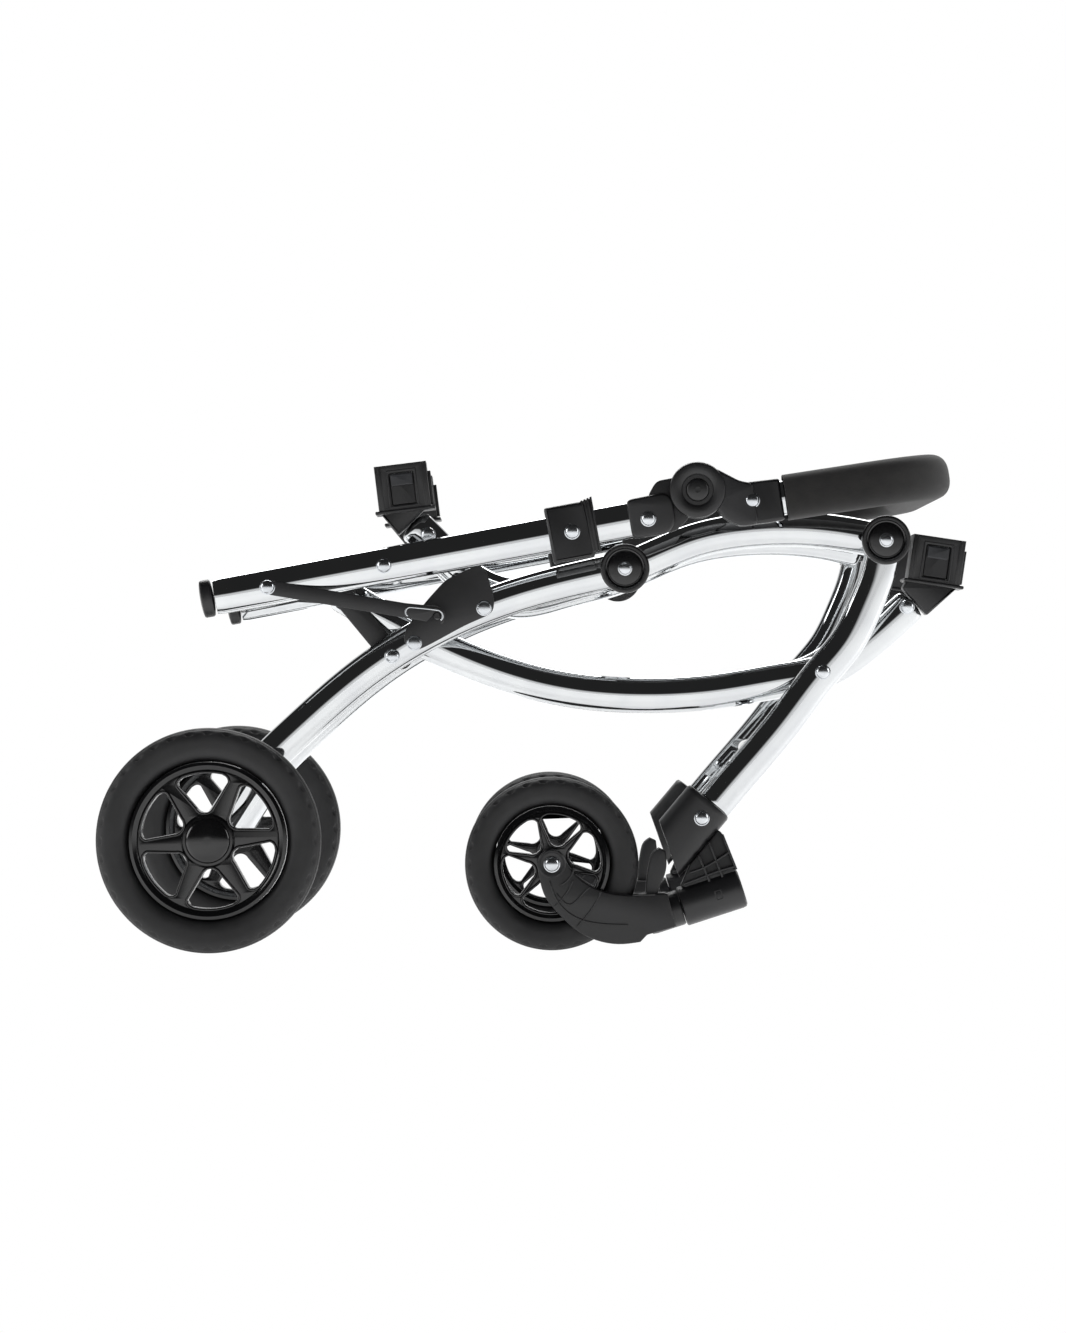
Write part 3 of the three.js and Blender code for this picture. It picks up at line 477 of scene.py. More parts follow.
# ---------------------------------------------------------------- wheels
def tyre_skin(name, centre, y, outer, inner, width, dimples):
    """A tyre: its section is a rounded rectangle between two radii, turned round the axle, with a row of
    shallow dimples pressed into each shoulder."""
    t = np.linspace(0, 2 * math.pi, 112, endpoint=False)[:, None]
    turn = np.linspace(0, 2 * math.pi, 8 * dimples, endpoint=False)[None, :]
    middle, half = (outer + inner) / 2, (outer - inner) / 2
    radius = middle + half * squared(np.cos(t), TYRE_SQUARENESS) + 0 * turn
    shift = width / 2 * squared(np.sin(t), TYRE_SQUARENESS) + 0 * turn
    shoulder = np.exp(-((np.abs(t - math.pi) - math.pi * 0.72) / 0.13) ** 2)
    pit = np.clip(np.cos(dimples * turn), 0, 1) ** 0.8
    groove = np.exp(-((np.abs(t - math.pi) - math.pi * 0.84) / 0.06) ** 2)
    radius = radius - 2.4 * shoulder * pit - 0.8 * groove
    grid = np.stack([centre[0] + radius * np.cos(turn), y + shift, centre[1] + radius * np.sin(turn)], -1)
    return surface(name, grid, wrap_rows=True, sharp=60)


def spoke_gap(centre, turn, spoke, rounding, outer):
    """The hole between two spokes: a small round end towards the hub, straight sides, and an arc along the
    rim, with its two outer corners softened."""
    near = polar(centre, 2 * (spoke / 2 + rounding), turn)
    spread = 30 - math.degrees(math.asin((spoke / 2 + 5) / outer))
    inner_arc = arc(near, rounding, turn + 112, turn + 248, 9)
    rim_arc = arc(centre, outer, turn - spread, turn + spread, 16)
    low = arc(polar(centre, outer - 6, turn - spread - 1.0), 5.5, turn - 100, turn - 30, 6)
    high = arc(polar(centre, outer - 6, turn + spread + 1.0), 5.5, turn + 30, turn + 100, 6)
    return np.concatenate([inner_arc, low, rim_arc, high])


def rim_disc(name, centre, y, side, radius, width, spoke, rounding, border, start, hub):
    """A six-spoke rim: a barrel with rolled lips, a spoked disc with deep rounded windows, a raised frame
    round each window, and a hub boss."""
    face = width / 2
    inner = radius - border
    barrel = [(inner + 1, -face + 3), (inner + 1, face - 3), (inner + 3, face - 0.6),
              (radius - 3, face + 0.6), (radius - 0.3, face - 0.4), (radius - 0.3, -face + 0.4),
              (radius - 3, -face - 0.6), (inner + 3, -face + 0.6), (inner + 1, -face + 3)]
    pieces = [turned(name + "_barrel", barrel, centre, y, (0, side, 0), 120)]
    gaps = [spoke_gap(centre, start + 30 + 60 * i, spoke, rounding, inner - 1) for i in range(6)]
    low, high = across(y, side, -face + 5, face - 3.5)
    pieces.append(plate(name + "_disc", circle(centre, inner + 3, 96), low, high, 2.0, gaps))
    for i, gap in enumerate(gaps):
        ring = clean_ring(gap, True)
        low, high = across(y, side, face - 5, face - 1.4)
        pieces.append(plate(f"{name}_frame_{i}", inset_ring(ring, -2.4), low, high, 1.0,
                            [inset_ring(ring, -0.1)]))
    boss = [(0, -face), (hub, -face), (hub, face - 3), (hub - 2, face - 0.5), (hub - 5, face), (0, face)]
    pieces.append(turned(name + "_boss", boss, centre, y, (0, side, 0), 64))
    return joined(name, *pieces)


def rear_wheels():
    for name, side in SIDES.items():
        y = side * REAR_WHEEL_Y
        body = f"rear_wheel_{name}"
        tyre = tyre_skin(f"tyre_rear_{name}", REAR_AXLE, y, outer=99.8, inner=70, width=36, dimples=36)
        finish_piece(tyre, body, "tyre_foam", f"rear_tyre_{name}")
        rim = rim_disc(f"rim_rear_{name}", REAR_AXLE, y, side, radius=69.8, width=32, spoke=17, rounding=8,
                       border=9, start=5, hub=24)
        finish_piece(rim, body, "gloss_black", f"rear_rim_{name}")
        dome = [(20 * math.cos(t), 16.8 + 6.8 * math.sin(t)) for t in np.radians(np.linspace(0, 90, 12))]
        cap = [(0, 15.6), (19.2, 15.6), (20, 16.2)] + dome[:-1] + [(0, 23.4)]
        hub = turned(f"hub_dome_{name}", cap, REAR_AXLE, y, (0, side, 0), 72)
        finish_piece(hub, body, "gloss_black", f"rear_hub_cap_{name}")


def front_wheels():
    for name, side in SIDES.items():
        y = side * LEG_Y
        body = f"front_wheel_{name}"
        tyre = tyre_skin(f"tyre_front_{name}", FRONT_AXLE, y, outer=77.8, inner=52, width=34, dimples=30)
        finish_piece(tyre, body, "tyre_foam", f"front_tyre_{name}")
        rim = rim_disc(f"rim_front_{name}", FRONT_AXLE, y, side, radius=51.8, width=30, spoke=8, rounding=8,
                       border=7, start=-13, hub=13)
        finish_piece(rim, body, "gloss_black", f"front_rim_{name}")


# ---------------------------------------------------------------- rivets, bolts and pivots
def rivet_head(name, centre, base, side, radius=6.2, height=3.6):
    """A domed head on a thin collar, standing out from a face at y = base on the outer side."""
    dome = [(radius * math.cos(t), 0.7 + height * math.sin(t)) for t in np.radians(np.linspace(0, 90, 9))]
    profile = [(0, 0), (radius + 0.8, 0), (radius + 0.8, 0.5)] + dome[:-1] + [(0, 0.7 + height)]
    return turned(name, profile, centre, side * base, (0, side, 0), 32)


def rivets():
    """Every rivet and bolt head, with the body that it is set in and the face that it stands on."""
    leg_face = LEG_Y + HALF_TUBE
    handle_face = HANDLE_Y + HALF_TUBE
    support_face = SUPPORT_Y + HALF_TUBE
    bolts = [
        ("leg_link", "rear_frame", LINK_FOOT, leg_face - 0.6),
        ("leg_lower", "front_frame", LOWER_PIVOT, leg_face - 0.6),
        ("handle_pivot", "handle_frame", HANDLE_PIVOT, handle_face - 0.6),
        ("sleeve", "handle_frame", (34, 374), HANDLE_Y + 14),
        ("joint_lower", "handle_frame", (101.7, 385.5), HANDLE_Y + 12),
        ("joint_upper", "handle_top", (194, 402), HANDLE_Y + 12),
        ("rear_socket", "upper_frame", (-95, 373.6), support_face + 3),
        ("front_socket", "lower_frame", (335.5, 308.5), support_face + 3),
        ("housing", "front_frame", (150, 119), LEG_Y + 16.5),
    ]
    for name, side in SIDES.items():
        for label, body, centre, base in bolts:
            head = rivet_head(f"rivet_{label}_{name}", centre, base, side)
            finish_piece(head, body, "bright_steel")
        wheel = rivet_head(f"wheel_nut_{name}", FRONT_AXLE, LEG_Y + 25, side, 6.6, 3.8)
        reach = 25.5
        shank = turned(f"wheel_shank_{name}", [(0, -reach), (4, -reach), (4, reach), (0, reach)], FRONT_AXLE,
                       side * LEG_Y, (0, side, 0), 24)
        far = rivet_head(f"wheel_head_{name}", FRONT_AXLE, -(LEG_Y - 25), -side, 5.8, 3.0)
        finish_piece(joined(f"wheel_bolt_{name}", wheel, shank, far), f"caster_{name}", "bright_steel",
                     f"front_wheel_bolt_{name}")
    # the bracket's own heads are flat, because the handle's end cap passes over them as the frame opens
    for label, body, centre, base, height in (("lock", "lock_bar", LOCK_PIVOT, 223.6, 3.6),
                                              ("bracket_low", "rear_frame", (-107, 275.4), 196.2, 2.0),
                                              ("bracket_high", "rear_frame", (-44.6, 306.7), 196.2, 2.0)):
        finish_piece(rivet_head(f"rivet_{label}", centre, base, -1, height=height), body, "bright_steel")


def pivot_caps():
    """Round cap over a main pivot: a turned cup with a rolled outer lip, a groove, a raised middle."""
    for label, centre in (("rear", REAR_PIVOT), ("front", FRONT_PIVOT)):
        for name, side in SIDES.items():
            base = LEG_Y + HALF_TUBE + 0.3
            lip = [(20.4 + 1.6 * math.sin(t), 4.9 + 1.6 * math.cos(t))
                   for t in np.radians(range(90, -1, -15))]
            profile = ([(0, -47), (5, -47), (5, 0), (21.2, 0), (22, 0.8)] + lip
                       + [(18.4, 6.4), (17.4, 5.4), (17.2, 3.6), (16.2, 3.2), (15.2, 3.6), (14.6, 4.8),
                          (11, 5.4), (0, 5.6)])
            cap = turned(f"pivot_{label}_{name}", profile, centre, side * base, (0, side, 0), 96)
            finish_piece(cap, "upper_frame", "gloss_black", f"{label}_pivot_cap_{name}")
            head = rivet_head(f"rivet_{label}_pivot_{name}", centre, base + 5.3, side, 5.6, 2.6)
            finish_piece(head, "upper_frame", "bright_steel")


# ---------------------------------------------------------------- tubes
def tubes():
    for name, side in SIDES.items():
        for label, path, y, body, node in (
                ("rear_leg", REAR_LEG, LEG_Y, "rear_frame", "rear_leg"),
                ("upper", UPPER, SUPPORT_Y, "upper_frame", "upper_support"),
                ("lower", LOWER, SUPPORT_Y, "lower_frame", "lower_support"),
                ("front_leg", FRONT_LEG, LEG_Y, "front_frame", "front_leg")):
            tube = swept(f"tube_{label}_{name}", smooth_path(path, 150), side * y, TUBE_HIGH, TUBE_WIDE)
            finish_piece(tube, body, "polished_tube", f"{node}_{name}")


def cross_pieces():
    """The tubes and the axle that run from side to side, turned with softly broken ends."""
    reach = SUPPORT_Y - HALF_TUBE - 0.3
    for label, body, centre, radius, half, slot in (
            ("upper_cross_tube", "upper_frame", REAR_PIVOT, 11, reach, "polished_tube"),
            ("lower_cross_tube", "lower_frame", (96, 228.7), 11, reach, "polished_tube"),
            ("front_cross_tube", "front_frame", polar(LOWER_PIVOT, 92, 229.8), 9, LEG_Y - 10.3,
             "polished_tube"),
            ("rear_axle", "rear_frame", REAR_AXLE, 6, 256.5, "bright_steel")):
        end = [(radius - 1, half), (radius - 0.3, half - 0.3), (radius, half - 1)]
        profile = [(0, -half), *[(r, -along) for r, along in end], *end[::-1], (0, half)]
        finish_piece(turned(f"bar_{label}", profile, centre, 0, (0, 1, 0), 48), body, slot, label)


# ---------------------------------------------------------------- latch, lock bar and link bars
def latch():
    """The pressed bracket with its stud, the hooked lock bar, and the bright-edged hook at the bar's end."""
    outline = rounded([(-106, 268), (-116, 274), (-116, 286), (-97, 312), (-79, 332), (-49, 346), (-42, 339),
                       (-35, 313), (-37, 302), (-62, 291), (-93, 274)], 7)
    bracket = plate("bracket_plate", outline, -196.3, -192.4, 1.0)
    stud = turned("bracket_stud", [(0, 0), (3.2, 0), (3.2, 26), (2.6, 27), (0, 27)], LOCK_STUD, -196,
                  count=24)
    finish_piece(joined("latch_plate", bracket, stud), "rear_frame", "black_plastic", "latch_bracket")

    length = math.dist(LOCK_PIVOT, LOCK_STUD)
    angle = heading(LOCK_PIVOT, LOCK_STUD)
    notch = arc((length, -0.3), 3.9, 180, 0, 9)
    outline = np.concatenate([arc((0, 0), 6.5, 270, 90, 12), [(length - 30, 6.5), (length - 3, 8.3)],
                              arc((length, 1.2), 6.9, 80, -20, 7), [(length + 6.5, -5), (length + 4.6, -6.2)],
                              notch[::-1], [(length - 8.5, -6.4), (length - 30, -6.5)]])
    bar = plate("lock_strip", placed(outline, LOCK_PIVOT, angle), -223.6, -220.7, 0.7)
    finish_piece(bar, "lock_bar", "black_plastic", "lock_bar")
    rim = placed(np.concatenate([arc((length - 24, -0.5), 4.2, 250, 90, 8), [(length - 12, 4.6)],
                                 arc((length, 0), 5.2, 90, -40, 9)]), LOCK_PIVOT, angle)
    edge = plate("lock_hook_edge", strip(rim, 1.5), -224.5, -223.4, 0.4)
    finish_piece(edge, "lock_bar", "bright_steel")


def link_bars():
    """A flat strip with half-round ends, from the lower support to the rear leg."""
    length = math.dist(LINK_TOP, LINK_FOOT)
    angle = heading(LINK_FOOT, LINK_TOP)
    for name, side in SIDES.items():
        ends = np.concatenate([arc((0, 0), 9.5, 270, 90, 14), arc((length, 0), 9.5, 90, -90, 14)])
        low, high = across(0, side, 167.4, 170.2)
        bar = plate(f"link_strip_{name}", placed(ends, LINK_FOOT, angle), low, high, 0.7)
        finish_piece(bar, "link_bars", "black_plastic", f"link_bar_{name}")
        tail = rounded([(-244, 320), (-196, 317), (-162, 306), (-160, 326), (-186, 348), (-241, 333)], 6)
        low, high = across(0, side, 163.2, 166.9)
        finish_piece(plate(f"support_tail_{name}", tail, low, high, 0.6), "lower_frame", "black_plastic")


# ---------------------------------------------------------------- handle
def handle_tubes():
    for name, side in SIDES.items():
        line = on_handle(np.column_stack([np.linspace(-153.8, 240, 60), np.zeros(60)]))
        tube = swept(f"handle_oval_{name}", line, side * HANDLE_Y, TUBE_HIGH, TUBE_WIDE, 1.0)
        boss = turned(f"handle_boss_{name}", [(0, 0), (5, 0), (5, 6), (8, 6.5), (8, 51), (0, 51)],
                      HANDLE_PIVOT, side * 151, (0, side, 0), 32)
        finish_piece(joined(f"handle_side_{name}", tube, boss), "handle_frame", "polished_tube",
                     f"handle_tube_{name}")
        stub = on_handle(np.column_stack([np.linspace(-166.4, -154.1, 14), np.zeros(14)]))
        cap = swept(f"handle_plug_{name}", stub, side * HANDLE_Y, TUBE_HIGH + 1.5, TUBE_WIDE + 1.5, 2.2)
        finish_piece(cap, "handle_frame", "black_plastic", f"handle_end_cap_{name}")


def sleeves():
    """The bolted sleeve on each handle tube: a band round the tube with four fine ribs at its front edge."""
    for name, side in SIDES.items():
        low, high = side * HANDLE_Y - 14, side * HANDLE_Y + 14
        band = rounded(on_handle([(149, -26), (149, 24), (181, 24), (185, 22), (186.5, -26)]), 2)
        pieces = [plate(f"sleeve_band_{name}", band, low, high, 3.0)]
        for i in range(4):
            along = 182.2 + 2.9 * i
            top = 24.6 + i * 0.6
            rib = on_handle([(along, -22.5), (along, top), (along + 1.7, top + 0.3), (along + 1.7, -22.5)])
            pieces.append(plate(f"sleeve_rib_{name}_{i}", rib, low + 0.4, high - 0.4, 0.5))
        core = on_handle([(180, -21.4), (180, 23.6), (191, 25.2), (191, -21.4)])
        pieces.append(plate(f"sleeve_core_{name}", core, low + 1.6, high - 1.6, 1.0))
        finish_piece(joined(f"sleeve_{name}", *pieces), "handle_frame", "black_plastic",
                     f"handle_sleeve_{name}")


def handle_joints():
    """The tilting joint: a lower clamp with a tongue, an upper clamp with two round covers, and a button."""
    for name, side in SIDES.items():
        y = side * HANDLE_Y
        clamp = rounded(on_handle([(222, -17), (222, 18), (258, 18.5), (264, 10), (262, -10), (254, -18)]), 6)
        tongue = rounded(on_handle([(244, -17), (262, -17), (276, -7), (274, 30), (252, 30), (242, 18)]), 5)
        lower = joined(f"joint_clamp_{name}",
                       plate(f"joint_body_{name}", clamp, y - 11.9, y + 11.9, 2.4),
                       plate(f"joint_tongue_{name}", tongue, y - 5.9, y + 5.9, 1.0),
                       plate(f"joint_disc_{name}", circle(JOINT_CENTRE, 22, 48), y - 5.9, y + 5.9, 1.0))
        finish_piece(lower, "handle_frame", "black_plastic", f"handle_joint_lower_{name}")

        cover = [(0, 6.4), (24, 6.4), (24.8, 7.2), (25, 9), (25, 14.6), (24.3, 16.2), (22.6, 17)]
        face = cover + [(15.4, 17), (14.4, 16.4), (13.6, 15.4), (11, 15.4), (10.4, 15.4), (10.2, 8.2),
                        (0, 8.2)]
        back = cover + [(0, 17)]
        arm = [(-40, -19), (-12, -20), (2, -19.5), (2, 17.5), (-12, 18), (-40, 19)]
        arm = rounded(placed(arm, GRIP_START, GRIP_ANGLE), 2.5)
        web = [(-58, 1), (-51, -11), (-38, -19.5), (-22, -20), (-22, 17), (-33, 20.5), (-54, 36)]
        web = rounded(placed(web, GRIP_START, GRIP_ANGLE), 5)
        pieces = [turned(f"joint_cover_{name}", face, JOINT_CENTRE, y, (0, side, 0), 96),
                  turned(f"joint_back_{name}", back, JOINT_CENTRE, y, (0, -side, 0), 96)]
        pieces.append(plate(f"joint_arm_{name}", arm, y - 12, y + 12, 2.6))
        for half in (-1, 1):
            low, high = across(y, half, 6.6, 14.5)
            pieces.append(plate(f"joint_web_{name}_{half}", web, low, high, 2.4))
        finish_piece(joined(f"joint_upper_{name}", *pieces), "handle_top", "black_plastic",
                     f"handle_joint_upper_{name}")
        dome = [(9.7 * math.cos(t), 16.6 + 2.2 * math.sin(t)) for t in np.radians(range(0, 90, 15))]
        push = [(0, 12.2), (9.7, 12.2)] + dome + [(2.5, 18.3), (0, 18.1)]
        button = turned(f"joint_push_{name}", push, JOINT_CENTRE, y, (0, side, 0), 48)
        finish_piece(button, f"joint_button_{name}", "black_plastic", f"handle_joint_button_{name}")


def handle_line(from_along):
    """The U-shaped line of the handle bar: straight, quarter circle, straight across, quarter circle,
    straight. It starts at a distance along the side arms."""
    turn = np.radians(np.linspace(0, 90, 16))
    arm = np.linspace(from_along, GRIP_LENGTH - GRIP_CORNER, 24, endpoint=False)
    along = np.concatenate([arm, GRIP_LENGTH - GRIP_CORNER + GRIP_CORNER * np.sin(turn)])
    y = np.concatenate([np.full(len(arm), -HANDLE_Y), -HANDLE_Y + GRIP_CORNER - GRIP_CORNER * np.cos(turn)])
    middle = np.linspace(y[-1], -y[-1], 40)[1:-1]
    along = np.concatenate([along, np.full(len(middle), GRIP_LENGTH), along[::-1]])
    y = np.concatenate([y, middle, -y[::-1]])
    side_view = placed(np.column_stack([along, np.zeros(len(along))]), GRIP_START, GRIP_ANGLE)
    return np.column_stack([side_view[:, 0], y, side_view[:, 1]])


def round_sweep(name, line, radii, around=40, squareness=1.0):
    """A section carried along a line in space: point = line + radius * (c * side + s * up), where up is the
    normal of the plane that the line lies in and c and s are cos t and sin t raised to the squareness."""
    run = directions(line)
    turn = math.radians(GRIP_ANGLE)
    up = np.array([-math.sin(turn), 0, math.cos(turn)])
    side = np.cross(run, up)
    t = np.linspace(0, 2 * math.pi, around, endpoint=False)[None, :, None]
    cos, sin = squared(np.cos(t), squareness), squared(np.sin(t), squareness)
    radii = np.asarray(radii, float)[:, None, None]
    grid = line[:, None] + radii * (cos * side[:, None] + sin * up)
    return surface(name, grid)


def handle_grip():
    line = handle_line(-24)
    ends = np.concatenate([[line[0]], line, [line[-1]]])
    run_radius = np.full(len(ends), BAR_RADIUS)
    run_radius[[0, -1]] = 0
    bar = round_sweep("push_bar", ends, run_radius, 32)
    pieces = [bar]
    for name, side in SIDES.items():
        stub = placed(np.column_stack([np.linspace(-20, 9, 20), np.zeros(20)]), GRIP_START, GRIP_ANGLE)
        pieces.append(swept(f"bar_ferrule_{name}", stub, side * HANDLE_Y, 31, 19.6, 1.0))
    finish_piece(joined("push_bar_tube", *pieces), "handle_top", "polished_tube", "handle_bar")

    foam_line = handle_line(5)
    lead = [foam_line[0] + (foam_line[1] - foam_line[0]) * t * 0.25 for t in (0, 0, 0.15, 0.5)]
    tail = [foam_line[-1] + (foam_line[-2] - foam_line[-1]) * t * 0.25 for t in (0.5, 0.15, 0, 0)]
    points = np.concatenate([lead, foam_line[1:-1], tail])
    end = [0, 0.93, 0.975, 1.0]
    radii = GRIP_RADIUS * np.concatenate([end, np.ones(len(foam_line) - 2), end[::-1]])
    foam = round_sweep("grip_sleeve", points, radii, 64, 0.74)
    finish_piece(foam, "handle_top", "grip_foam", "foam_grip")


# ---------------------------------------------------------------- sockets
def sockets():
    """The four square sockets: four walls with a windowed outer one, a floor, a flange, a rail, and a wedge
    that runs down to the tube's end."""
    for label, body, centre, tilt, nose_at, nose_turn in (
            ("rear", "upper_frame", (-118, 416), 7, polar(UPPER[0], 0.3, 135), 315),
            ("front", "lower_frame", (361.8, 350), -8.4, polar(LOWER[-1], 0.3, 42), 42)):
        def local(points):
            return placed(points, centre, tilt)

        nose = placed([(0, -16.5), (0, 16.5)], nose_at, nose_turn)
        lower = local([(-23.5, -20.5), (23.5, -20.5)])
        foot = nose if label == "rear" else nose[::-1]
        corners = [lower[0], foot[0], foot[1], lower[1]]
        for name, side in SIDES.items():
            y = side * SUPPORT_Y
            tag = f"{label}_{name}"
            wall = local(box(-23.5, 23.5, -20.5, 20.5))
            window = rounded(local(box(-11, 11, -16, 13)), 1.2)
            frame_in = local(box(-12, 12, -17, 14))
            frame_out = local(box(-13.6, 13.6, -18.6, 15.6))
            pieces = [plate(f"socket_outer_{tag}", wall, *across(y, side, 20.6, 24), 0.8, [window]),
                      plate(f"socket_inner_{tag}", wall, *across(y, -side, 20.6, 24), 0.8),
                      plate(f"socket_rim_{tag}", frame_out, *across(y, side, 23.6, 24.9), 0.4, [frame_in])]
            for end in (-1, 1):
                cheek = local(box(end * 23.5, end * 20, -20.5, 20.5))
                pieces.append(plate(f"socket_end_{tag}_{end}", cheek, y - 23.9, y + 23.9, 0.7))
                rib = local(box(end * 20.6, end * 18.2, -20, 20))
                pieces.append(plate(f"socket_rib_{tag}_{end}", rib, *across(y, side, 23.4, 24.7), 0.3))
            floor = local(box(-21, 21, -20.5, -15.5))
            flange = rounded(local(box(-27, 27, -22.8, -19.8)), 1.2)
            rail = local(box(23, 26.3, -18, 12))
            pieces += [plate(f"socket_floor_{tag}", floor, y - 21, y + 21, 0.5),
                       plate(f"socket_flange_{tag}", flange, y - 26.5, y + 26.5, 1.0),
                       plate(f"socket_rail_{tag}", rail, y - 9, y + 9, 0.7),
                       plate(f"socket_wedge_{tag}", rounded(corners, 2), y - 13, y + 13, 2.2)]
            finish_piece(joined(f"post_socket_{tag}", *pieces), body, "black_plastic",
                         f"{label}_socket_{name}")
            back = rounded(local(box(-10.5, 10.5, -15.5, 12.5)), 1.0)
            pad = rounded(local(box(-9.8, 9.8, 1, 11.8)), 1.6)
            body_name, node = f"{label}_button_{name}", f"{label}_socket_button_{name}"
            finish_piece(plate(f"release_back_{tag}", back, *across(y, side, 19.6, 21.8), 0.4), body_name,
                         "black_plastic", node)
            finish_piece(plate(f"release_pad_{tag}", pad, *across(y, side, 21.2, 24.8), 1.0), body_name,
                         "grey_button", node)


# ---------------------------------------------------------------- swivel housings, forks and levers
def along_swivel(points):
    return placed(points, SWIVEL_MIDDLE, SWIVEL_ANGLE)


def swivel_housings():
    """The housing at the foot of each front leg: a sleeve for the leg, a ribbed web, the swivel barrel."""
    for name, side in SIDES.items():
        y = side * LEG_Y
        sleeve_line = np.linspace((100.5, 66.7), (157.5, 134.6), 30)
        web = rounded([(131, 58), (140, 78), (165, 108), (168, 106), (180.6, 72), (160, 50)], 2)
        profile = [(0, -28.5), (15, -28.5), (17, -28.2), (18, -27.2), (18, 24), (17.4, 27.2), (15.6, 28.5),
                   (7, 28.5), (6.6, 27.2), (0, 27.2)]
        sleeve = swept(f"leg_sleeve_{name}", sleeve_line, y, 46.5, 33, 1.5, 64, 0.62)
        pieces = [trimmed(sleeve, (131.5, 62), (111.9, 117)),
                  plate(f"housing_web_{name}", web, y - 8, y + 8, 1.0),
                  turned(f"swivel_barrel_{name}", profile, SWIVEL_MIDDLE, y, SWIVEL_AXIS, 72)]
        ribs = [[(147, 86), (157, 62)], [(156.5, 98), (168.5, 66)],
                [(139, 70), (150, 74), (163, 81), (175, 89)], [(168.6, 104), (181, 73)],
                [(134, 60), (150, 66), (166, 72), (180.5, 76)]]
        for i, rib in enumerate(ribs):
            line = smooth_path(rib, 12) if len(rib) > 2 else np.linspace(rib[0], rib[1], 6)
            pieces.append(plate(f"housing_rib_{name}_{i}", strip(line, 2.0), y - 14.5, y + 14.5, 0.7))
        slot_out = rounded(along_swivel(box(3, 9.4, -4.2, 5.2)), 0.8)
        slot_in = rounded(along_swivel(box(4, 8.4, -3.2, 4.2)), 0.6)
        pieces.append(plate(f"barrel_mark_{name}", slot_out, *across(y, side, 16.6, 18.2), 0.3, [slot_in]))
        finish_piece(joined(f"leg_housing_{name}", *pieces), "front_frame", "black_plastic",
                     f"swivel_housing_{name}")


def fork_outline():
    """A blade: a round eye at the wheel bolt, a swept lower edge and a hollow upper edge."""
    eye = arc(FRONT_AXLE, 13.2, 40, 205, 16)
    lower = smooth_path([(4, 72), (9.5, 50), (23, 32.6), (38, 19), (54, 10.7), (77, 6.6), (95, 8.6)], 26)
    tail = [(101, 15), (127, 22.4), (119, 51.8), (104, 51.6)]
    upper = smooth_path([(94, 50.4), (78, 51), (60, 54.5), (46, 61.5), (36, 70), (28.6, 81)], 20)
    return np.concatenate([eye, lower, tail, upper])


def forks():
    """Two ribbed blades with their eyes, the bridge and shoulders behind them, and the neck of the swivel."""
    inner = 19.6
    outline = fork_outline()
    ribs = [arc(FRONT_AXLE, 20, 292, 350, 10),
            smooth_path([(14, 63), (20, 47), (33, 33), (52, 26), (84, 24)], 20),
            smooth_path([(35, 64), (30, 54), (18, 40)], 12), smooth_path([(60, 54), (54, 42), (38, 22)], 14),
            smooth_path([(50, 58), (42, 50), (32, 42), (20, 52)], 14), [(88, 50.4), (108, 51)]]
    for name, side in SIDES.items():
        y = side * LEG_Y
        pieces = []
        for part in (-1, 1):
            low, high = across(y, part, inner, inner + 5.2)
            pieces.append(plate(f"fork_blade_{name}_{part}", outline, low, high, 1.4))
            low, high = across(y, part, inner + 4.4, inner + 6.2)
            for i, rib in enumerate(ribs):
                pieces.append(plate(f"fork_rib_{name}_{part}_{i}", strip(rib, 1.7), low, high, 0.6))
            eye = [(7.6, 0), (12.6, 0), (12.6, 1.6), (12, 2.2), (10.8, 2.2), (10.2, 1.6), (7.6, 1.2),
                   (7.6, 0)]
            pieces.append(turned(f"fork_eye_{name}_{part}", eye, FRONT_AXLE, y + part * (inner + 4.6),
                                 (0, part, 0), 48))
        bridge = rounded([(88, 9), (95, 8.6), (101, 15), (127, 22.4), (121, 44), (116, 41.5), (90, 39.5)], 3)
        pieces.append(plate(f"fork_bridge_{name}", bridge, y - inner - 1, y + inner + 1, 2.0))
        for part in (-1, 1):
            shoulder = rounded([(93, 38), (122, 40), (119, 51.5), (93, 50)], 2)
            low, high = across(y, part, 15.6, inner + 1)
            pieces.append(plate(f"fork_shoulder_{name}_{part}", shoulder, low, high, 1.0))
        neck = [(0, -62), (13, -62), (15.4, -60), (16, -56), (16, -30.6), (15.2, -29), (6, -29), (6, 10),
                (0, 10)]
        pieces.append(turned(f"fork_neck_{name}", neck, SWIVEL_MIDDLE, y, SWIVEL_AXIS, 64))
        finish_piece(joined(f"wheel_fork_{name}", *pieces), f"caster_{name}", "black_plastic",
                     f"caster_fork_{name}")


def levers():
    """The swivel lock: two tall horns side by side with a web at their foot."""
    left = smooth_path([(100.4, 45), (100.6, 60), (103, 78), (106.5, 88), (112, 92.2)], 16)
    right = smooth_path([(117.6, 89.6), (118.6, 80), (116.8, 68), (112.6, 58), (110.4, 45)], 14)
    outline = np.concatenate([left, right])
    for name, side in SIDES.items():
        y = side * LEG_Y
        pieces = [plate(f"lever_horn_{name}_{part}", outline, *across(y, part, 10, 14.9), 1.4)
                  for part in (-1, 1)]
        web = rounded([(100.6, 45), (101, 56), (111.6, 56), (110.4, 45)], 2)
        pieces.append(plate(f"lever_web_{name}", web, y - 12, y + 12, 1.0))
        finish_piece(joined(f"swivel_lock_{name}", *pieces), f"swivel_lever_{name}", "black_plastic",
                     f"swivel_lock_lever_{name}")


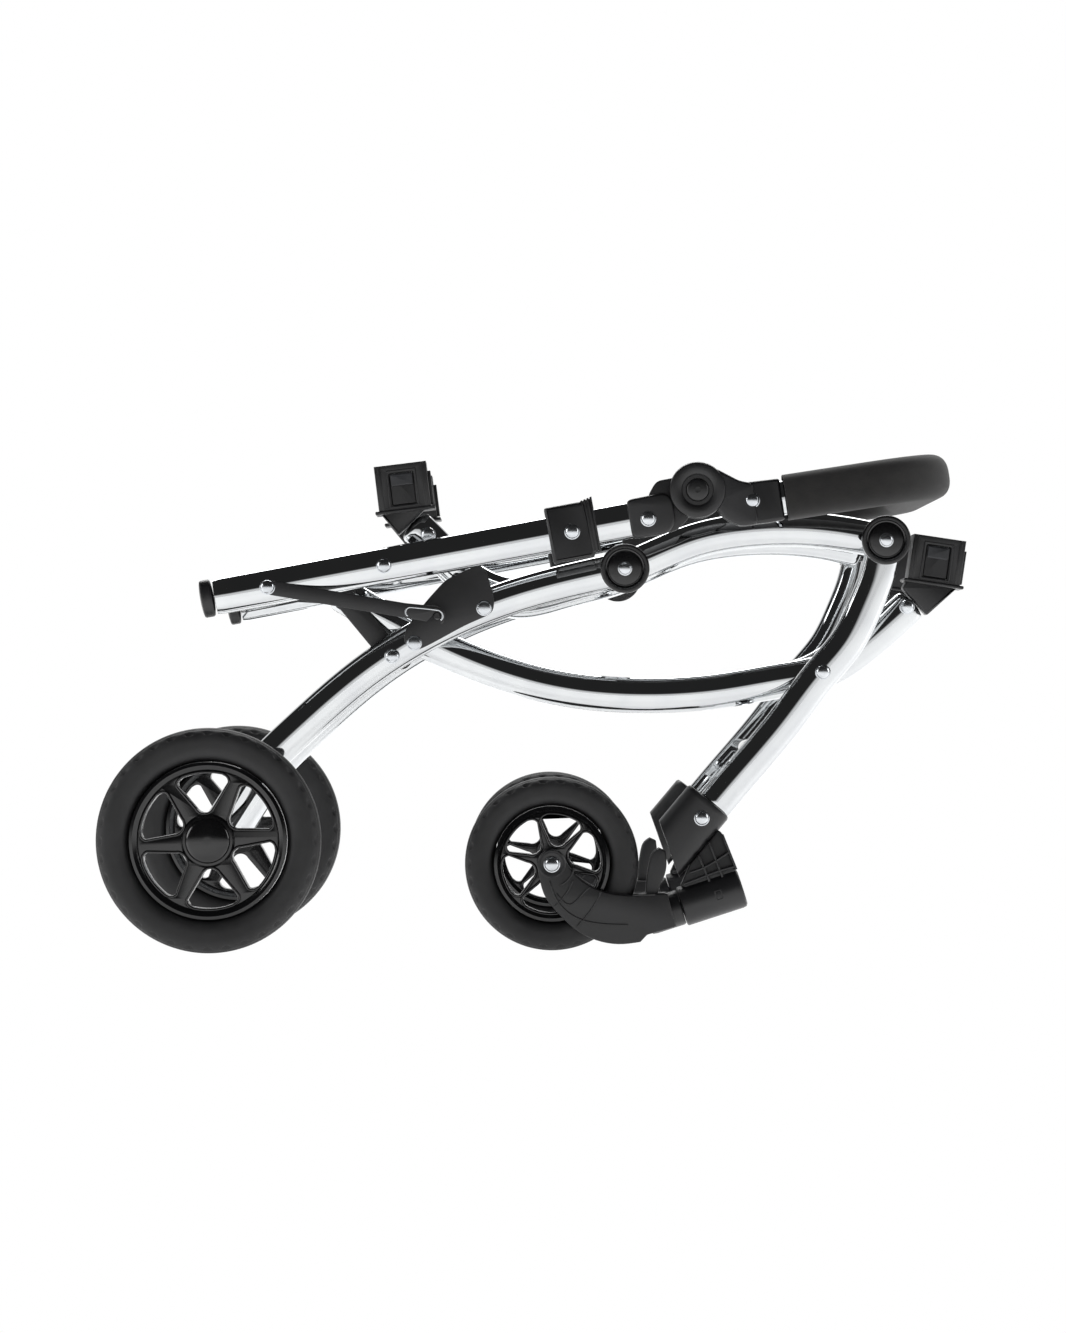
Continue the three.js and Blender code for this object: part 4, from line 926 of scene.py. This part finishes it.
# ---------------------------------------------------------------- assembly
def camera_and_lights():
    """The camera stands level on the right side, far away, with a long lens."""
    eye = bpy.data.cameras.new("camera")
    eye.sensor_width = 36
    eye.lens = 144.054
    eye.shift_x = 0.0022506
    eye.shift_y = 0.0288822
    eye.clip_end = 50
    camera = bpy.data.objects.new("camera", eye)
    camera.location = (-0.0035, -4.963, 0.220)
    camera.rotation_euler = (math.radians(90), 0, 0)
    bpy.context.scene.collection.objects.link(camera)
    bpy.context.scene.camera = camera

    def panel(name, place, aim, width, height, power, mirrored=True):
        light = bpy.data.lights.new(name, "AREA")
        light.shape = "RECTANGLE"
        light.size, light.size_y, light.energy = width, height, power
        lamp = bpy.data.objects.new(name, light)
        lamp.location = place
        lamp.rotation_euler = (Vector(aim) - Vector(place)).to_track_quat("-Z", "Y").to_euler()
        lamp.visible_glossy = mirrored
        bpy.context.scene.collection.objects.link(lamp)

    panel("overhead", (0.0, 1.3, 2.0), (0, 0, 0.2), 2.2, 0.7, 36)
    panel("left_wall", (-2.4, -0.6, 1.0), (0, 0, 0.25), 0.9, 1.2, 16)
    panel("right_wall", (2.4, -0.4, 1.0), (0, 0, 0.3), 0.9, 1.2, 14)
    panel("front_fill", (-0.5, -3.2, 1.5), (0, 0, 0.2), 2.0, 1.2, 34, mirrored=False)


def white_studio():
    """A white room that is dark above the horizon on the camera's side, so a polished tube shows a black
    band above its middle and a white one below it. The camera itself sees plain white."""
    scene = bpy.context.scene
    scene.view_settings.view_transform = "Standard"
    world = bpy.data.worlds.new("white_room")
    scene.world = world
    world.use_nodes = True
    tree = world.node_tree
    direction = add(tree, "ShaderNodeTexCoord").outputs["Generated"]
    parts = add(tree, "ShaderNodeSeparateXYZ", [("Vector", direction)]).outputs

    def step(source, start, end):
        ramp = add(tree, "ShaderNodeMapRange", [("Value", source)])
        ramp.inputs["From Min"].default_value = start
        ramp.inputs["From Max"].default_value = end
        return ramp.outputs["Result"]

    raised = step(parts["Z"], 0.02, 0.10)
    front = step(parts["Y"], 0.62, 0.45)
    dark = add(tree, "ShaderNodeMath", operation="MULTIPLY")
    tree.links.new(raised, dark.inputs[0])
    tree.links.new(front, dark.inputs[1])
    grey = add(tree, "ShaderNodeMapRange", [("Value", dark.outputs[0])])
    grey.inputs["To Min"].default_value = 0.95
    grey.inputs["To Max"].default_value = 0.025
    seen = add(tree, "ShaderNodeLightPath").outputs["Is Camera Ray"]
    strength = add(tree, "ShaderNodeMath", [(0, grey.outputs["Result"]), (1, seen)], operation="MAXIMUM")
    background = tree.nodes["Background"]
    background.inputs["Color"].default_value = (1, 1, 1, 1)
    tree.links.new(strength.outputs[0], background.inputs["Strength"])


def studio_floor():
    """A white floor that lights the underside and is mirrored in the tubes, but isn't seen itself."""
    floor_size = 6.0
    mesh = bpy.data.meshes.new("studio_floor")
    corners = [(-floor_size, -floor_size, 0), (floor_size, -floor_size, 0), (floor_size, floor_size, 0),
               (-floor_size, floor_size, 0)]
    mesh.from_pydata(corners, [], [[0, 1, 2, 3]])
    floor = bpy.data.objects.new("studio_floor", mesh)
    bpy.context.scene.collection.objects.link(floor)
    # the frame opens downwards, past the level that the folded wheels stand on, so the camera sees through it
    floor.visible_camera = False
    material, _, shader = new_material("white_painted_floor")
    set_shader(shader, Base_Color=linear("#fafafa"), Roughness=0.35, Emission_Color=(1, 1, 1, 1),
               Emission_Strength=0.8)
    mesh.materials.append(material)


camera_and_lights()
white_studio()
studio_floor()
rear_wheels()
front_wheels()
tubes()
cross_pieces()
pivot_caps()
rivets()
latch()
link_bars()
handle_tubes()
sleeves()
handle_joints()
handle_grip()
sockets()
swivel_housings()
forks()
levers()
